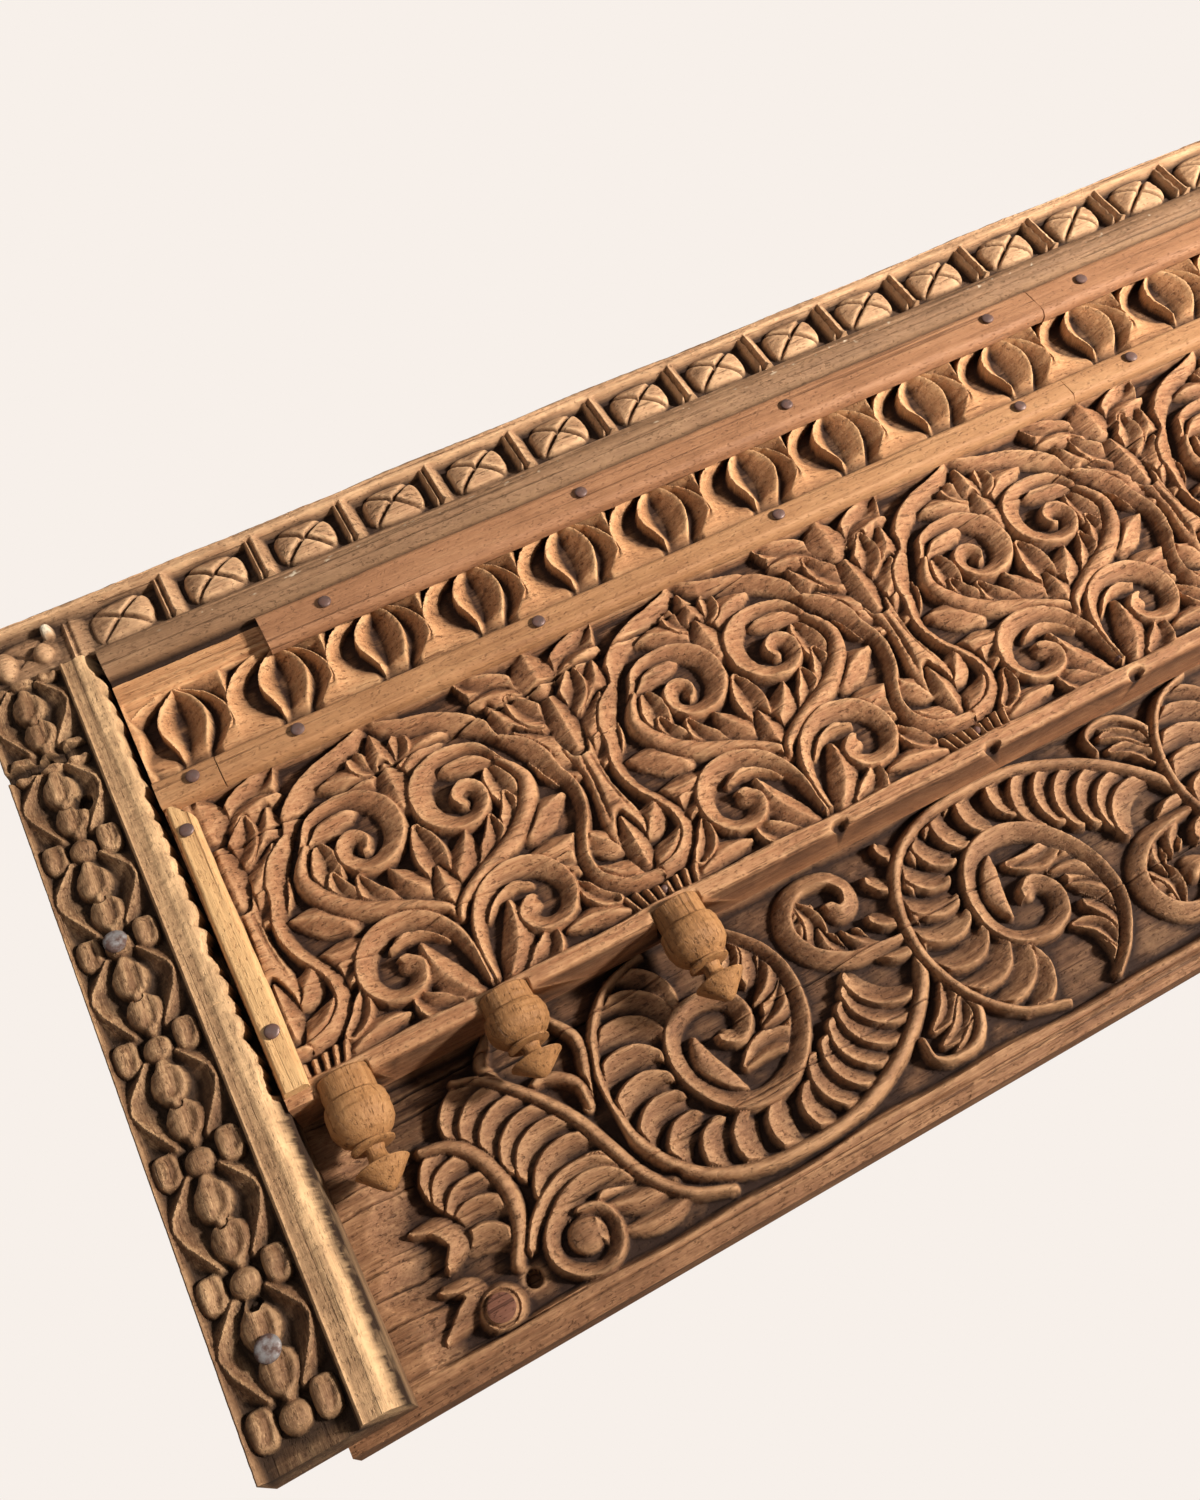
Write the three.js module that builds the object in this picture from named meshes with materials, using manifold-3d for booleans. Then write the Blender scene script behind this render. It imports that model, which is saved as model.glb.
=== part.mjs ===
// Carved wall panel, nailed together from boards: a top rail, a band of split lotus buds, a scroll
// board, a lower board set back under it, two stiles, battens, turned pendants, nails and a peg.
// Millimetres, +Z up, -Y towards the viewer. The origin lies on the back of the top rail.
import * as THREE from 'three';
import { mergeVertices } from 'three/addons/utils/BufferGeometryUtils.js';
import Module from 'manifold-3d';

const wasm = await Module();
wasm.setup();

// Lengths along X, from the left end of the boards
const BOARD_LENGTH = 830;
const STILE_WIDTH = 69;
const LOWER_BOARD_TAIL = 35;
const PLAIN_LEFT_END = 28;
const PLAIN_RIGHT_END = 8;
const BAY = 199;
const BAYS = 4;
const FIRST_TREE = 17;
const END_BATTEN_WIDTH = 15;
const END_NAIL_AXIS = 8;
const RAIL_PITCH = 57.6;
const FIRST_RAIL_BARS = -7;
const RAIL_BAR_WIDTH = 12;
const LEAF_FIRST = 26.6;
const LEAF_PITCH = 60.5;
const LEAF_STRETCH = 0.33;
const LEAVES = 13;
const VINE_FIRST = 215;
const VINE_PITCH = 185;
const VINES = 4;

// Depths along Y, into the wall from the face of the scroll board
const GAP = 0.3;
const BACK = 54;
const LOWER_FACE = 32;
const STILE_FACE = -8;
const BATTEN_FACE = -8;
const RAIL_FACE = -12;
const SCROLL_GROUND = 9;
const LEAF_GROUND = 11;
const LOWER_GROUND = 41;
const STILE_GROUND = -2;
const RAIL_GROUND = -4;
const BOARD_BACK = LOWER_FACE - GAP;
const ROOT = 1;

// Heights along Z, from the foot of the panel
const LOWER_FOOT = 3;
const LOWER_STRIP_TOP = 21;
const VINE_MIDDLE = 86;
const LOWER_TOP = 190;
const SCROLL_FOOT = 150;
const END_BATTEN_FOOT = 156;
const SCROLL_STRIP_TOP = 160;
const SCROLL_TOP = 341;
const LOWER_BATTEN_FOOT = 331;
const LOWER_BATTEN_TOP = 351;
const LEAF_TOP = 425;
const UPPER_BATTEN_FOOT = 401;
const UPPER_BATTEN_TOP = 428;
const STILE_FOOT = 8;
const RAIL_SHOULDER = 450;
const RAIL_BAND_TOP = 481;
const MOULDING_CREST = 440;
const RAIL_TOP = 489;
const MOUNT_HEIGHT = 470;

// Turned pendants, nails and peg
const PENDANTS = [[29, 62], [116.5, 48], [216, 58]];
const PENDANT_AXIS = 6;
const PENDANT_SIDES = 8;
const RECESS_RADIUS = 15;
const RECESS_HEIGHT = 6;
const RECESS_SIDES = 8;
const EMPTY_SOCKETS_FROM = 3;
const SOCKET_RADIUS = 4.5;
const SOCKET_DEPTH = 12;
const NAIL_SIDES = 5;
const NAIL_CROWN = 0.75;
const BATTEN_NAIL = { radius: 4.4, height: 1.8 };
const STILE_NAIL = { radius: 6.8, height: 3 };
const PIN = { radius: 3.2, height: 7 };
const PIN_HEIGHT = 165.5;
const PEG = { radius: 7.5, height: 1.5 };
const PEG_SPOT = [51, 27];
const STILE_NAIL_HEIGHTS = [54, 269];
const END_NAIL_HEIGHTS = [187, 312];
const UPPER_NAILS = [129, 298, 446, 602, 679, 790];
const LOWER_NAILS = [22, 83, 232, 394, 573, 661, 770];
const UPPER_BATTEN_JOINTS = [89, 640, BOARD_LENGTH];
const LOWER_BATTEN_JOINTS = [0, 36, 610, BOARD_LENGTH];

const FINISHES = {
  scroll: { color: 0x8a6238, roughness: 0.8, metalness: 0 },
  rail: { color: 0x8f7048, roughness: 0.85, metalness: 0 },
  batten: { color: 0xb88c54, roughness: 0.75, metalness: 0 },
  pendant: { color: 0xc49a5c, roughness: 0.7, metalness: 0 },
  iron: { color: 0x54433f, roughness: 0.6, metalness: 0.7 },
};

const part = new THREE.Group();
const panel = new THREE.Group();
panel.position.set(-BOARD_LENGTH / 2, -BACK, -MOUNT_HEIGHT);
part.add(panel);

// A closed geometry as a solid that can be joined and cut
function solidOf(geometry) {
  const bare = geometry.clone();
  bare.deleteAttribute('normal');
  bare.deleteAttribute('uv');
  const merged = mergeVertices(bare, 1e-4);
  return new wasm.Manifold(new wasm.Mesh({
    numProp: 3,
    vertProperties: merged.attributes.position.array,
    triVerts: new Uint32Array(merged.index.array),
  }));
}

// A joined or cut solid as a geometry again
function geometryOf(solid) {
  const mesh = solid.getMesh();
  const geometry = new THREE.BufferGeometry();
  geometry.setAttribute('position', new THREE.BufferAttribute(mesh.vertProperties, 3));
  geometry.setIndex(new THREE.BufferAttribute(mesh.triVerts, 1));
  return geometry;
}

function add(name, geometry, finish) {
  const mesh = new THREE.Mesh(geometry, new THREE.MeshStandardMaterial(FINISHES[finish]));
  mesh.name = name;
  panel.add(mesh);
}

// A board carved from its blank: the raised forms join it, within its ends, and the hollows are cut
function addCarved(name, blanks, raised, hollows, finish) {
  let solid = solidOf(blanks[0]);
  const ends = new THREE.Box3().setFromBufferAttribute(blanks[0].attributes.position);
  for (const form of [...blanks.slice(1), ...raised]) {
    solid = solid.add(solidOf(form));
  }
  const reach = box([ends.min.x, ends.max.x], [RAIL_FACE - ROOT, BACK], [LOWER_FOOT, RAIL_TOP]);
  solid = solid.intersect(solidOf(reach));
  for (const hollow of hollows) {
    solid = solid.subtract(solidOf(hollow));
  }
  add(name, geometryOf(solid), finish);
}

function box(x, y, z) {
  const size = [x, y, z].map(([from, to]) => to - from);
  const middle = [x, y, z].map(([from, to]) => (from + to) / 2);
  return new THREE.BoxGeometry(...size).translate(...middle);
}

// A section of depth and height carried along the length
function lengthwise(section, from, to) {
  const shape = new THREE.Shape(section.map(([y, z]) => new THREE.Vector2(y, z)));
  const geometry = new THREE.ExtrudeGeometry(shape, { depth: to - from, bevelEnabled: false });
  const turn = new THREE.Matrix4().makeBasis(
    new THREE.Vector3(0, 1, 0), new THREE.Vector3(0, 0, 1), new THREE.Vector3(1, 0, 0));
  return geometry.applyMatrix4(turn).translate(from, 0, 0);
}

// A section of length and depth carried upright
function upright(section, from, to) {
  const shape = new THREE.Shape(section.map(([x, y]) => new THREE.Vector2(x, y)));
  const geometry = new THREE.ExtrudeGeometry(shape, { depth: to - from, bevelEnabled: false });
  return geometry.translate(0, 0, from);
}

// A flat outline in length and height, raised from the ground to its top
function raise(shape, ground, top) {
  const depth = ground + ROOT - top;
  const geometry = new THREE.ExtrudeGeometry(shape, { depth, bevelEnabled: false });
  return geometry.rotateX(Math.PI / 2).translate(0, ground + ROOT, 0);
}

const BAND_TAPER = 0.45;
const SPIRAL_TIGHTENING = 1.3;

// A band along a path, wide in the middle and narrower at both ends
function band(path, width, taper = BAND_TAPER) {
  const last = path.length - 1;
  const left = [];
  const right = [];
  path.forEach((spot, i) => {
    const run = path[Math.min(i + 1, last)].clone().sub(path[Math.max(i - 1, 0)]).normalize();
    const side = new THREE.Vector2(-run.y, run.x);
    const half = (width / 2) * (taper + (1 - taper) * Math.sin(Math.PI * i / last));
    left.push(spot.clone().addScaledVector(side, half));
    right.push(spot.clone().addScaledVector(side, -half));
  });
  return new THREE.Shape([...left, ...right.reverse()]);
}

// A spiral about a centre, from its rim at an angle in degrees to its eye; negative turns run clockwise
function spiral({ centre, radius, eye, angle, turns, steps }) {
  return Array.from({ length: steps + 1 }, (_, i) => {
    const t = i / steps;
    const phase = THREE.MathUtils.degToRad(angle + 360 * turns * t);
    const reach = radius + (eye - radius) * t ** SPIRAL_TIGHTENING;
    return new THREE.Vector2(
      centre[0] + reach * Math.cos(phase), centre[1] + reach * Math.sin(phase));
  });
}

function smooth(spots, steps) {
  return new THREE.SplineCurve(spots.map(([x, z]) => new THREE.Vector2(x, z))).getPoints(steps);
}

function placed(path, x, side = 1, z = 0, flip = 1) {
  return path.map((spot) => new THREE.Vector2(x + side * spot.x, z + flip * spot.y));
}

// A pointed leaf, four facets rising to its middle; the angle leans it from upright, in degrees
function leaf(x, z, length, width, lean, ground, top) {
  const height = ground + ROOT - top;
  const facets = new THREE.ConeGeometry(1, 1, 4).scale(width / 2, height, length / 2);
  facets.rotateX(Math.PI).rotateY(THREE.MathUtils.degToRad(lean));
  return facets.translate(x, top + height / 2, z);
}

// A round boss, faceted up to its middle
function boss(x, z, across, tall, sides, ground, top) {
  const height = ground + ROOT - top;
  const dome = new THREE.ConeGeometry(1, 1, sides).scale(across / 2, height, tall / 2);
  return dome.rotateX(Math.PI).translate(x, top + height / 2, z);
}

// A round pad that a nail head rests on
function pad(x, face, z, { radius }, ground) {
  const depth = ground + ROOT - face;
  const stub = new THREE.CylinderGeometry(radius, radius, depth, NAIL_SIDES);
  return stub.translate(x, face + depth / 2, z);
}

function nail(name, x, face, z, { radius, height }, finish = 'iron') {
  const head = new THREE.CylinderGeometry(radius, radius * NAIL_CROWN, height, NAIL_SIDES);
  add(name, head.translate(x, face - GAP - height / 2, z), finish);
}

// Top rail: a plain fillet, the carved band, a groove and a half-round moulding between the stiles
const RAIL_BAR_INSET = 1;
const CROSS_REACH = 20;
const CROSS_SIDE = { out: 11, tall: 25, wide: 18 };
const CROSS_END = { out: 8, tall: 13, wide: 24 };
function railForms() {
  const forms = [];
  const lobe = (x, z, { tall, wide }) => forms.push(leaf(x, z, tall, wide, 0, RAIL_GROUND, RAIL_FACE));
  const middle = (RAIL_SHOULDER + RAIL_BAND_TOP) / 2;
  const reach = RAIL_BAND_TOP - RAIL_SHOULDER - 2 * RAIL_BAR_INSET;
  const firstBars = FIRST_RAIL_BARS - RAIL_PITCH;
  const pitches = Math.ceil((BOARD_LENGTH + 2 * STILE_WIDTH) / RAIL_PITCH);
  for (let i = 0; i < pitches; i += 1) {
    const bars = firstBars + RAIL_PITCH * i;
    const x = [bars - RAIL_BAR_WIDTH / 2, bars + RAIL_BAR_WIDTH / 2];
    const z = [middle - reach / 2, middle + reach / 2];
    forms.push(box(x, [RAIL_FACE + RAIL_BAR_INSET, RAIL_GROUND + ROOT], z));
    const cross = bars + RAIL_PITCH / 2;
    if (cross + CROSS_REACH < BOARD_LENGTH + STILE_WIDTH) {
      lobe(cross - CROSS_SIDE.out, middle, CROSS_SIDE);
      lobe(cross + CROSS_SIDE.out, middle, CROSS_SIDE);
      lobe(cross, middle + CROSS_END.out, CROSS_END);
      lobe(cross, middle - CROSS_END.out, CROSS_END);
    }
  }
  return forms;
}

const railBand = lengthwise([
  [BACK, RAIL_SHOULDER], [RAIL_GROUND, RAIL_SHOULDER], [RAIL_GROUND, RAIL_BAND_TOP],
  [RAIL_FACE, RAIL_BAND_TOP + 1], [RAIL_FACE, RAIL_TOP - 3], [RAIL_FACE + 3, RAIL_TOP], [BACK, RAIL_TOP],
], -STILE_WIDTH, BOARD_LENGTH + STILE_WIDTH);
const railMoulding = lengthwise([
  [BACK, LEAF_TOP + GAP], [GAP, LEAF_TOP + GAP], [GAP, UPPER_BATTEN_TOP + GAP],
  [RAIL_FACE / 2, UPPER_BATTEN_TOP + 2], [RAIL_FACE + 1, MOULDING_CREST - 5], [RAIL_FACE, MOULDING_CREST],
  [RAIL_FACE + 2, MOULDING_CREST + 5], [RAIL_FACE / 2, MOULDING_CREST + 8.5],
  [RAIL_GROUND, RAIL_SHOULDER + ROOT], [BACK, RAIL_SHOULDER + ROOT],
], GAP, BOARD_LENGTH - GAP);
addCarved('top_rail', [railBand, railMoulding], railForms(), [], 'rail');

// Leaf band board: each unit is an arched petal about a bud split into a full and a hollow half
const ARCH = [[-28, 1], [-26, 20], [-15, 36], [0, 41], [15, 36], [26, 20], [28, 1]];
const ARCH_BAND = { width: 8, taper: 0.7, top: 1, steps: 6 };
const BUD_FOOT = LOWER_BATTEN_TOP + 9;
const BUD_MIDDLE = BUD_FOOT + 17;
const FULL_HALF = { x: -7, length: 40, width: 14, lean: 4, top: -1 };
const HOLLOW_HALF = { x: 8, length: 36, width: 9, lean: -8, top: 3 };
const DART = { rise: 36, length: 16, width: 12, top: 2 };
function leafForms() {
  const forms = [];
  const arch = smooth(ARCH, ARCH_BAND.steps);
  for (let i = 0; i < LEAVES; i += 1) {
    const axis = LEAF_FIRST + LEAF_PITCH * i + LEAF_STRETCH * i * i;
    const petal = band(placed(arch, axis, 1, BUD_FOOT), ARCH_BAND.width, ARCH_BAND.taper);
    forms.push(raise(petal, LEAF_GROUND, ARCH_BAND.top));
    for (const { x, length, width, lean, top } of [FULL_HALF, HOLLOW_HALF]) {
      forms.push(leaf(axis + x, BUD_MIDDLE, length, width, lean, LEAF_GROUND, top));
    }
    if (i > 0) {
      const dart = axis - LEAF_PITCH / 2;
      forms.push(leaf(dart, BUD_FOOT + DART.rise, DART.length, DART.width, 0, LEAF_GROUND, DART.top));
    }
  }
  return forms;
}

const leafBlank = lengthwise([
  [BOARD_BACK, SCROLL_TOP + GAP], [BOARD_BACK, LEAF_TOP], [0, LEAF_TOP], [0, UPPER_BATTEN_FOOT + 1],
  [LEAF_GROUND, UPPER_BATTEN_FOOT], [LEAF_GROUND, LOWER_BATTEN_TOP + 8], [0, LOWER_BATTEN_TOP + 6],
  [0, SCROLL_TOP + GAP],
], 0, BOARD_LENGTH);
addCarved('leaf_band_board', [leafBlank], leafForms(), [], 'scroll');

// Scroll board: in each bay two pairs of scrolls about an axis, under a cusped frame. A leaf's row
// gives how far out it is set, its height, length and width, and its lean from upright in degrees
const UPPER_STALK = [[3, 206], [30, 220], [54, 243]];
const UPPER_SCROLL = { centre: [30, 266], radius: 28, eye: 6, angle: -20, turns: 1.2, steps: 6 };
const UPPER_BAND = { width: 8, top: 0.4 };
const LOWER_STALK = [[3, 174], [4, 192]];
const LOWER_SCROLL = { centre: [32, 192], radius: 25, eye: 6, angle: 165, turns: -1.1, steps: 6 };
const LOWER_BAND = { width: 8, top: 0.8 };
const FRAME = [[2, 327], [22, 315], [46, 303], [60, 287], [72, 264], [87, 243]];
const FRAME_BAND = { width: 6, taper: 0.8, top: 0.2, steps: 4 };
const BAY_LEAVES = [[20, 301, 24, 12, 55], [68, 236, 28, 12, 80], [62, 220, 26, 13, 60],
  [13, 234, 22, 10, 38], [58, 171, 20, 12, 120]];
const BAY_AXIS_LEAVES = [[0, 228, 28, 11, 0], [0, 293, 26, 17, 0], [0, 313, 18, 10, 0]];

function sprout(axis, [out, z, length, width, lean], side = 1) {
  return leaf(axis + side * out, z, length, width, side * lean, SCROLL_GROUND, 0);
}

function scrollGroup(axis) {
  const forms = [];
  const lift = (path, side, { width, taper, top }) => {
    forms.push(raise(band(placed(path, axis, side), width, taper), SCROLL_GROUND, top));
  };
  for (const side of [-1, 1]) {
    lift([...smooth(UPPER_STALK, UPPER_STALK.length - 1), ...spiral(UPPER_SCROLL)], side, UPPER_BAND);
    lift([...smooth(LOWER_STALK, LOWER_STALK.length - 1), ...spiral(LOWER_SCROLL)], side, LOWER_BAND);
    lift(smooth(FRAME, FRAME_BAND.steps), side, FRAME_BAND);
    forms.push(...BAY_LEAVES.map((row) => sprout(axis, row, side)));
  }
  forms.push(...BAY_AXIS_LEAVES.map((row) => sprout(axis, row)));
  return forms;
}

// A flowering tree in a vase, between two bays
const VASE = [[12, 244], [11, 232], [20, 221], [28, 206], [28, 190], [17, 177], [-1, 172]];
const VASE_BAND = { width: 5, taper: 0.9, top: 0.6, steps: 4 };
const TRUNK = [[-11, 216], [11, 216], [7, 232], [6, 257], [-6, 257], [-7, 232]];
const TRUNK_TOP = 0.8;
const TREE_LEAVES = [[10, 262, 26, 11, 50], [18, 280, 30, 12, 48], [19, 301, 24, 11, 22],
  [12, 208, 20, 11, 40], [12, 188, 22, 11, 55]];
const TREE_AXIS_LEAVES = [[0, 287, 38, 17, 0], [0, 318, 22, 20, 0], [0, 199, 30, 11, 0]];
function tree(axis) {
  const forms = [];
  const vase = smooth(VASE, VASE_BAND.steps);
  for (const side of [-1, 1]) {
    const rim = band(placed(vase, axis, side), VASE_BAND.width, VASE_BAND.taper);
    forms.push(raise(rim, SCROLL_GROUND, VASE_BAND.top));
    forms.push(...TREE_LEAVES.map((row) => sprout(axis, row, side)));
  }
  const trunk = new THREE.Shape(TRUNK.map(([x, z]) => new THREE.Vector2(axis + x, z)));
  forms.push(raise(trunk, SCROLL_GROUND, TRUNK_TOP));
  forms.push(...TREE_AXIS_LEAVES.map((row) => sprout(axis, row)));
  return forms;
}

const treeAxes = Array.from({ length: BAYS + 1 }, (_, i) => FIRST_TREE + BAY * i);
const groupAxes = Array.from({ length: BAYS }, (_, i) => FIRST_TREE + BAY * (i + 0.5));
const scrollBlank = lengthwise([
  [BOARD_BACK, SCROLL_FOOT], [BOARD_BACK, SCROLL_TOP], [0, SCROLL_TOP], [0, LOWER_BATTEN_FOOT + 1],
  [SCROLL_GROUND, LOWER_BATTEN_FOOT], [SCROLL_GROUND, SCROLL_STRIP_TOP + 1], [0, SCROLL_STRIP_TOP],
  [0, SCROLL_FOOT + 4], [1.2, SCROLL_FOOT + 1.2], [4, SCROLL_FOOT],
], 0, BOARD_LENGTH);
const margin = [SCROLL_STRIP_TOP - ROOT, LOWER_BATTEN_FOOT + 2];
const scrollMargins = [[0, END_BATTEN_WIDTH], [BOARD_LENGTH - END_BATTEN_WIDTH, BOARD_LENGTH]]
  .map((x) => box(x, [0, SCROLL_GROUND + ROOT], margin));
const hangingAxes = [...treeAxes, ...groupAxes].sort((a, b) => a - b);
const sockets = hangingAxes.slice(EMPTY_SOCKETS_FROM).map((x) => {
  const socket = new THREE.CylinderGeometry(SOCKET_RADIUS, SOCKET_RADIUS, 2 * SOCKET_DEPTH, NAIL_SIDES);
  return socket.rotateX(Math.PI / 2).translate(x, PENDANT_AXIS, SCROLL_FOOT);
});
// Shallow recesses that take the heads of the pendants
const recesses = PENDANTS.map(([x]) => {
  const recess = new THREE.CylinderGeometry(RECESS_RADIUS, RECESS_RADIUS, 2 * RECESS_HEIGHT, RECESS_SIDES);
  return recess.rotateX(Math.PI / 2).translate(x, PENDANT_AXIS, SCROLL_FOOT);
});
const pinAxes = hangingAxes.slice(1, -1);
const scrollCarving = [...groupAxes.flatMap(scrollGroup), ...treeAxes.slice(1, -1).flatMap(tree)];
const scrollHollows = [...sockets, ...recesses];
addCarved('scroll_board', [scrollBlank, ...scrollMargins], scrollCarving, scrollHollows, 'scroll');

// Lower board: a running vine, each scroll turned over against the one before
const VINE_RIM = { centre: [0, 0], radius: 64, eye: 62, angle: -95, turns: -0.52, steps: 6 };
const VINE_RIM_BAND = { width: 5, taper: 0.8, sunk: 0.5 };
const VINE_RING = { centre: [0, 2], radius: 46, eye: 7, angle: 70, turns: -1.35, steps: 9 };
const VINE_RING_BAND = { width: 7, sunk: 0.2 };
const VINE_EYE = { across: 12, sides: 4 };
const RIM_LOBES = { first: 130, last: 310, step: 25.5 };
const RIM_LOBE = { reach: 50, length: 22, width: 11, turn: -50 };
const RING_LOBES = [20, 60];
const RING_LOBE = { reach: 24, length: 18, width: 9, turn: -60 };
const WAVE = [[-6, -62], [40, -60], [76, -44], [102, -6], [112, 24]];
const WAVE_STEPS = 5;
const WAVE_BAND = { width: 6, sunk: 0.8 };
const CURL = { centre: [83, 34], radius: 25, eye: 6, angle: -60, turns: -1.2, steps: 6 };
const CURL_BAND = { width: 6, sunk: 0.4 };
const CURL_LOBES = [-10, 30];
const CURL_LOBE = { reach: 29, length: 18, width: 8, turn: -50, centre: CURL.centre };
const LOOP_LEAF = { x: 96, drop: 46, length: 32, width: 20, lean: 35 };
function vine(index) {
  const forms = [];
  const x = VINE_FIRST + VINE_PITCH * index;
  const flip = index % 2 === 0 ? 1 : -1;
  const lift = (path, { width, taper, sunk }) => {
    const shape = band(placed(path, x, 1, VINE_MIDDLE, flip), width, taper);
    forms.push(raise(shape, LOWER_GROUND, LOWER_FACE + sunk));
  };
  const lobe = (angle, { reach, length, width, turn, centre = [0, 0] }) => {
    const phase = THREE.MathUtils.degToRad(angle);
    const dx = centre[0] + reach * Math.cos(phase);
    const dz = centre[1] + reach * Math.sin(phase);
    const lean = flip > 0 ? 90 - angle - turn : 90 + angle + turn;
    forms.push(leaf(x + dx, VINE_MIDDLE + flip * dz, length, width, lean, LOWER_GROUND, LOWER_FACE));
  };
  lift(spiral(VINE_RIM), VINE_RIM_BAND);
  lift(spiral(VINE_RING), VINE_RING_BAND);
  for (let angle = RIM_LOBES.first; angle <= RIM_LOBES.last; angle += RIM_LOBES.step) {
    lobe(angle, RIM_LOBE);
  }
  RING_LOBES.forEach((angle) => lobe(angle, RING_LOBE));
  const { across, sides } = VINE_EYE;
  forms.push(boss(x, VINE_MIDDLE, across, across, sides, LOWER_GROUND, LOWER_FACE));
  if (index < VINES - 1) {
    lift(smooth(WAVE, WAVE_STEPS), WAVE_BAND);
    lift(spiral(CURL), CURL_BAND);
    CURL_LOBES.forEach((angle) => lobe(angle, CURL_LOBE));
    const { length, width, lean } = LOOP_LEAF;
    const z = VINE_MIDDLE - flip * LOOP_LEAF.drop;
    forms.push(leaf(x + LOOP_LEAF.x, z, length, width, flip * lean, LOWER_GROUND, LOWER_FACE));
  }
  return forms;
}

// The worn left end of the vine: a broken crescent, a feathered frond and a small scroll
const CRESCENT = [[44, 128], [66, 112], [77, 84], [70, 48]];
const FROND = [[86, 132], [112, 104], [130, 66], [158, 32]];
const END_STEPS = 6;
const END_SCROLL = { centre: [99, 40], radius: 20, eye: 5, angle: 170, turns: -1.1, steps: 8 };
const END_BAND = { width: 6, taper: 0.7 };
const END_FEATHERS = 4;
const CRESCENT_FEATHER = { from: [48, 104], step: [5, -21], length: 24, width: 11, lean: 70, turn: 8 };
const FROND_FEATHER = { from: [78, 116], step: [11, -16], length: 26, width: 11, lean: 62, turn: 4 };
function vineEnd() {
  const forms = [];
  const lift = (path, sunk) => {
    const shape = band(placed(path, 0), END_BAND.width, END_BAND.taper);
    forms.push(raise(shape, LOWER_GROUND, LOWER_FACE + sunk));
  };
  lift(smooth(CRESCENT, END_STEPS), CURL_BAND.sunk);
  lift(smooth(FROND, END_STEPS), (CURL_BAND.sunk + WAVE_BAND.sunk) / 2);
  lift(spiral(END_SCROLL), WAVE_BAND.sunk);
  for (let i = 0; i < END_FEATHERS; i += 1) {
    for (const { from, step, length, width, lean, turn } of [CRESCENT_FEATHER, FROND_FEATHER]) {
      const [x, z] = [from[0] + step[0] * i, from[1] + step[1] * i];
      forms.push(leaf(x, z, length, width, lean + turn * i, LOWER_GROUND, LOWER_FACE));
    }
  }
  return forms;
}

const lowerBlank = lengthwise([
  [BACK, LOWER_FOOT], [BACK, LOWER_TOP], [LOWER_FACE, LOWER_TOP], [LOWER_FACE, SCROLL_FOOT + 5],
  [LOWER_GROUND, SCROLL_FOOT + 2], [LOWER_GROUND, LOWER_STRIP_TOP + 2], [LOWER_FACE, LOWER_STRIP_TOP],
  [LOWER_FACE, LOWER_FOOT + 2], [LOWER_FACE + 2, LOWER_FOOT],
], -LOWER_BOARD_TAIL, BOARD_LENGTH + LOWER_BOARD_TAIL);
const lowerMargin = [LOWER_STRIP_TOP - ROOT, SCROLL_FOOT + 6];
const lowerMargins = [
  [-LOWER_BOARD_TAIL, PLAIN_LEFT_END],
  [BOARD_LENGTH - PLAIN_RIGHT_END, BOARD_LENGTH + LOWER_BOARD_TAIL]]
  .map((x) => box(x, [LOWER_FACE, LOWER_GROUND + ROOT], lowerMargin));
const vines = Array.from({ length: VINES }, (_, i) => vine(i)).flat();
const pegPad = pad(PEG_SPOT[0], LOWER_FACE, PEG_SPOT[1], PEG, LOWER_GROUND);
addCarved('lower_board', [lowerBlank, ...lowerMargins], [...vineEnd(), ...vines, pegPad], [], 'scroll');

// Stiles: a sunk band with a chain of beads and ovals between leaf blocks, a fillet and a bevel
const CHAIN_PITCH = 61;
const FIRST_BEAD = 25;
const CHAIN_AXIS = -45;
const BEADS = 7;
const BAND_EDGE = -24;
const FILLET_EDGE = -8;
const BEVEL_FOOT = [-1, STILE_FACE + 12];
const RIM = 3;
const BEAD = { across: 14, tall: 14, sides: 5 };
const OVAL = { across: 14, tall: 20, sides: 5 };
const BLOCK = { out: 13, size: 14, lean: 45 };
const RIDGE = { out: 14, length: 19, width: 7, lean: 12 };
const STEP_HEIGHTS = [388, 402];
const LEFT_STILE = { ridges: true };
const RIGHT_STILE = { ridges: false };
function stileForms({ ridges }) {
  const forms = [];
  const top = STILE_FACE;
  const ridgeSides = ridges ? [-1, 1] : [];
  const round = (z, { across, tall, sides }) => {
    forms.push(boss(CHAIN_AXIS, z, across, tall, sides, STILE_GROUND, top));
  };
  for (let i = 0; i < BEADS; i += 1) {
    const bead = FIRST_BEAD + CHAIN_PITCH * i;
    round(bead, BEAD);
    for (const side of [-1, 1]) {
      const block = CHAIN_AXIS + side * BLOCK.out;
      forms.push(leaf(block, bead, BLOCK.size, BLOCK.size, BLOCK.lean, STILE_GROUND, top));
    }
    if (i < BEADS - 1) {
      for (const step of [1, 2]) {
        const oval = bead + CHAIN_PITCH * step / 3;
        round(oval, OVAL);
        for (const side of ridgeSides) {
          const lean = side * RIDGE.lean * (2 * step - 3);
          const ridge = CHAIN_AXIS + side * RIDGE.out;
          forms.push(leaf(ridge, oval, RIDGE.length, RIDGE.width, lean, STILE_GROUND, top));
        }
      }
    }
  }
  for (const z of STILE_NAIL_HEIGHTS) {
    forms.push(pad(CHAIN_AXIS, STILE_FACE, z, STILE_NAIL, STILE_GROUND));
  }
  return forms;
}

function mirrored(geometry) {
  const copy = geometry.clone();
  const spots = copy.attributes.position;
  for (let i = 0; i < spots.count; i += 1) {
    spots.setX(i, BOARD_LENGTH - spots.getX(i));
  }
  const index = copy.index ? Array.from(copy.index.array) : Array.from({ length: spots.count }, (_, i) => i);
  for (let i = 0; i < index.length; i += 3) {
    [index[i], index[i + 1]] = [index[i + 1], index[i]];
  }
  copy.setIndex(index);
  return copy;
}

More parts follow.
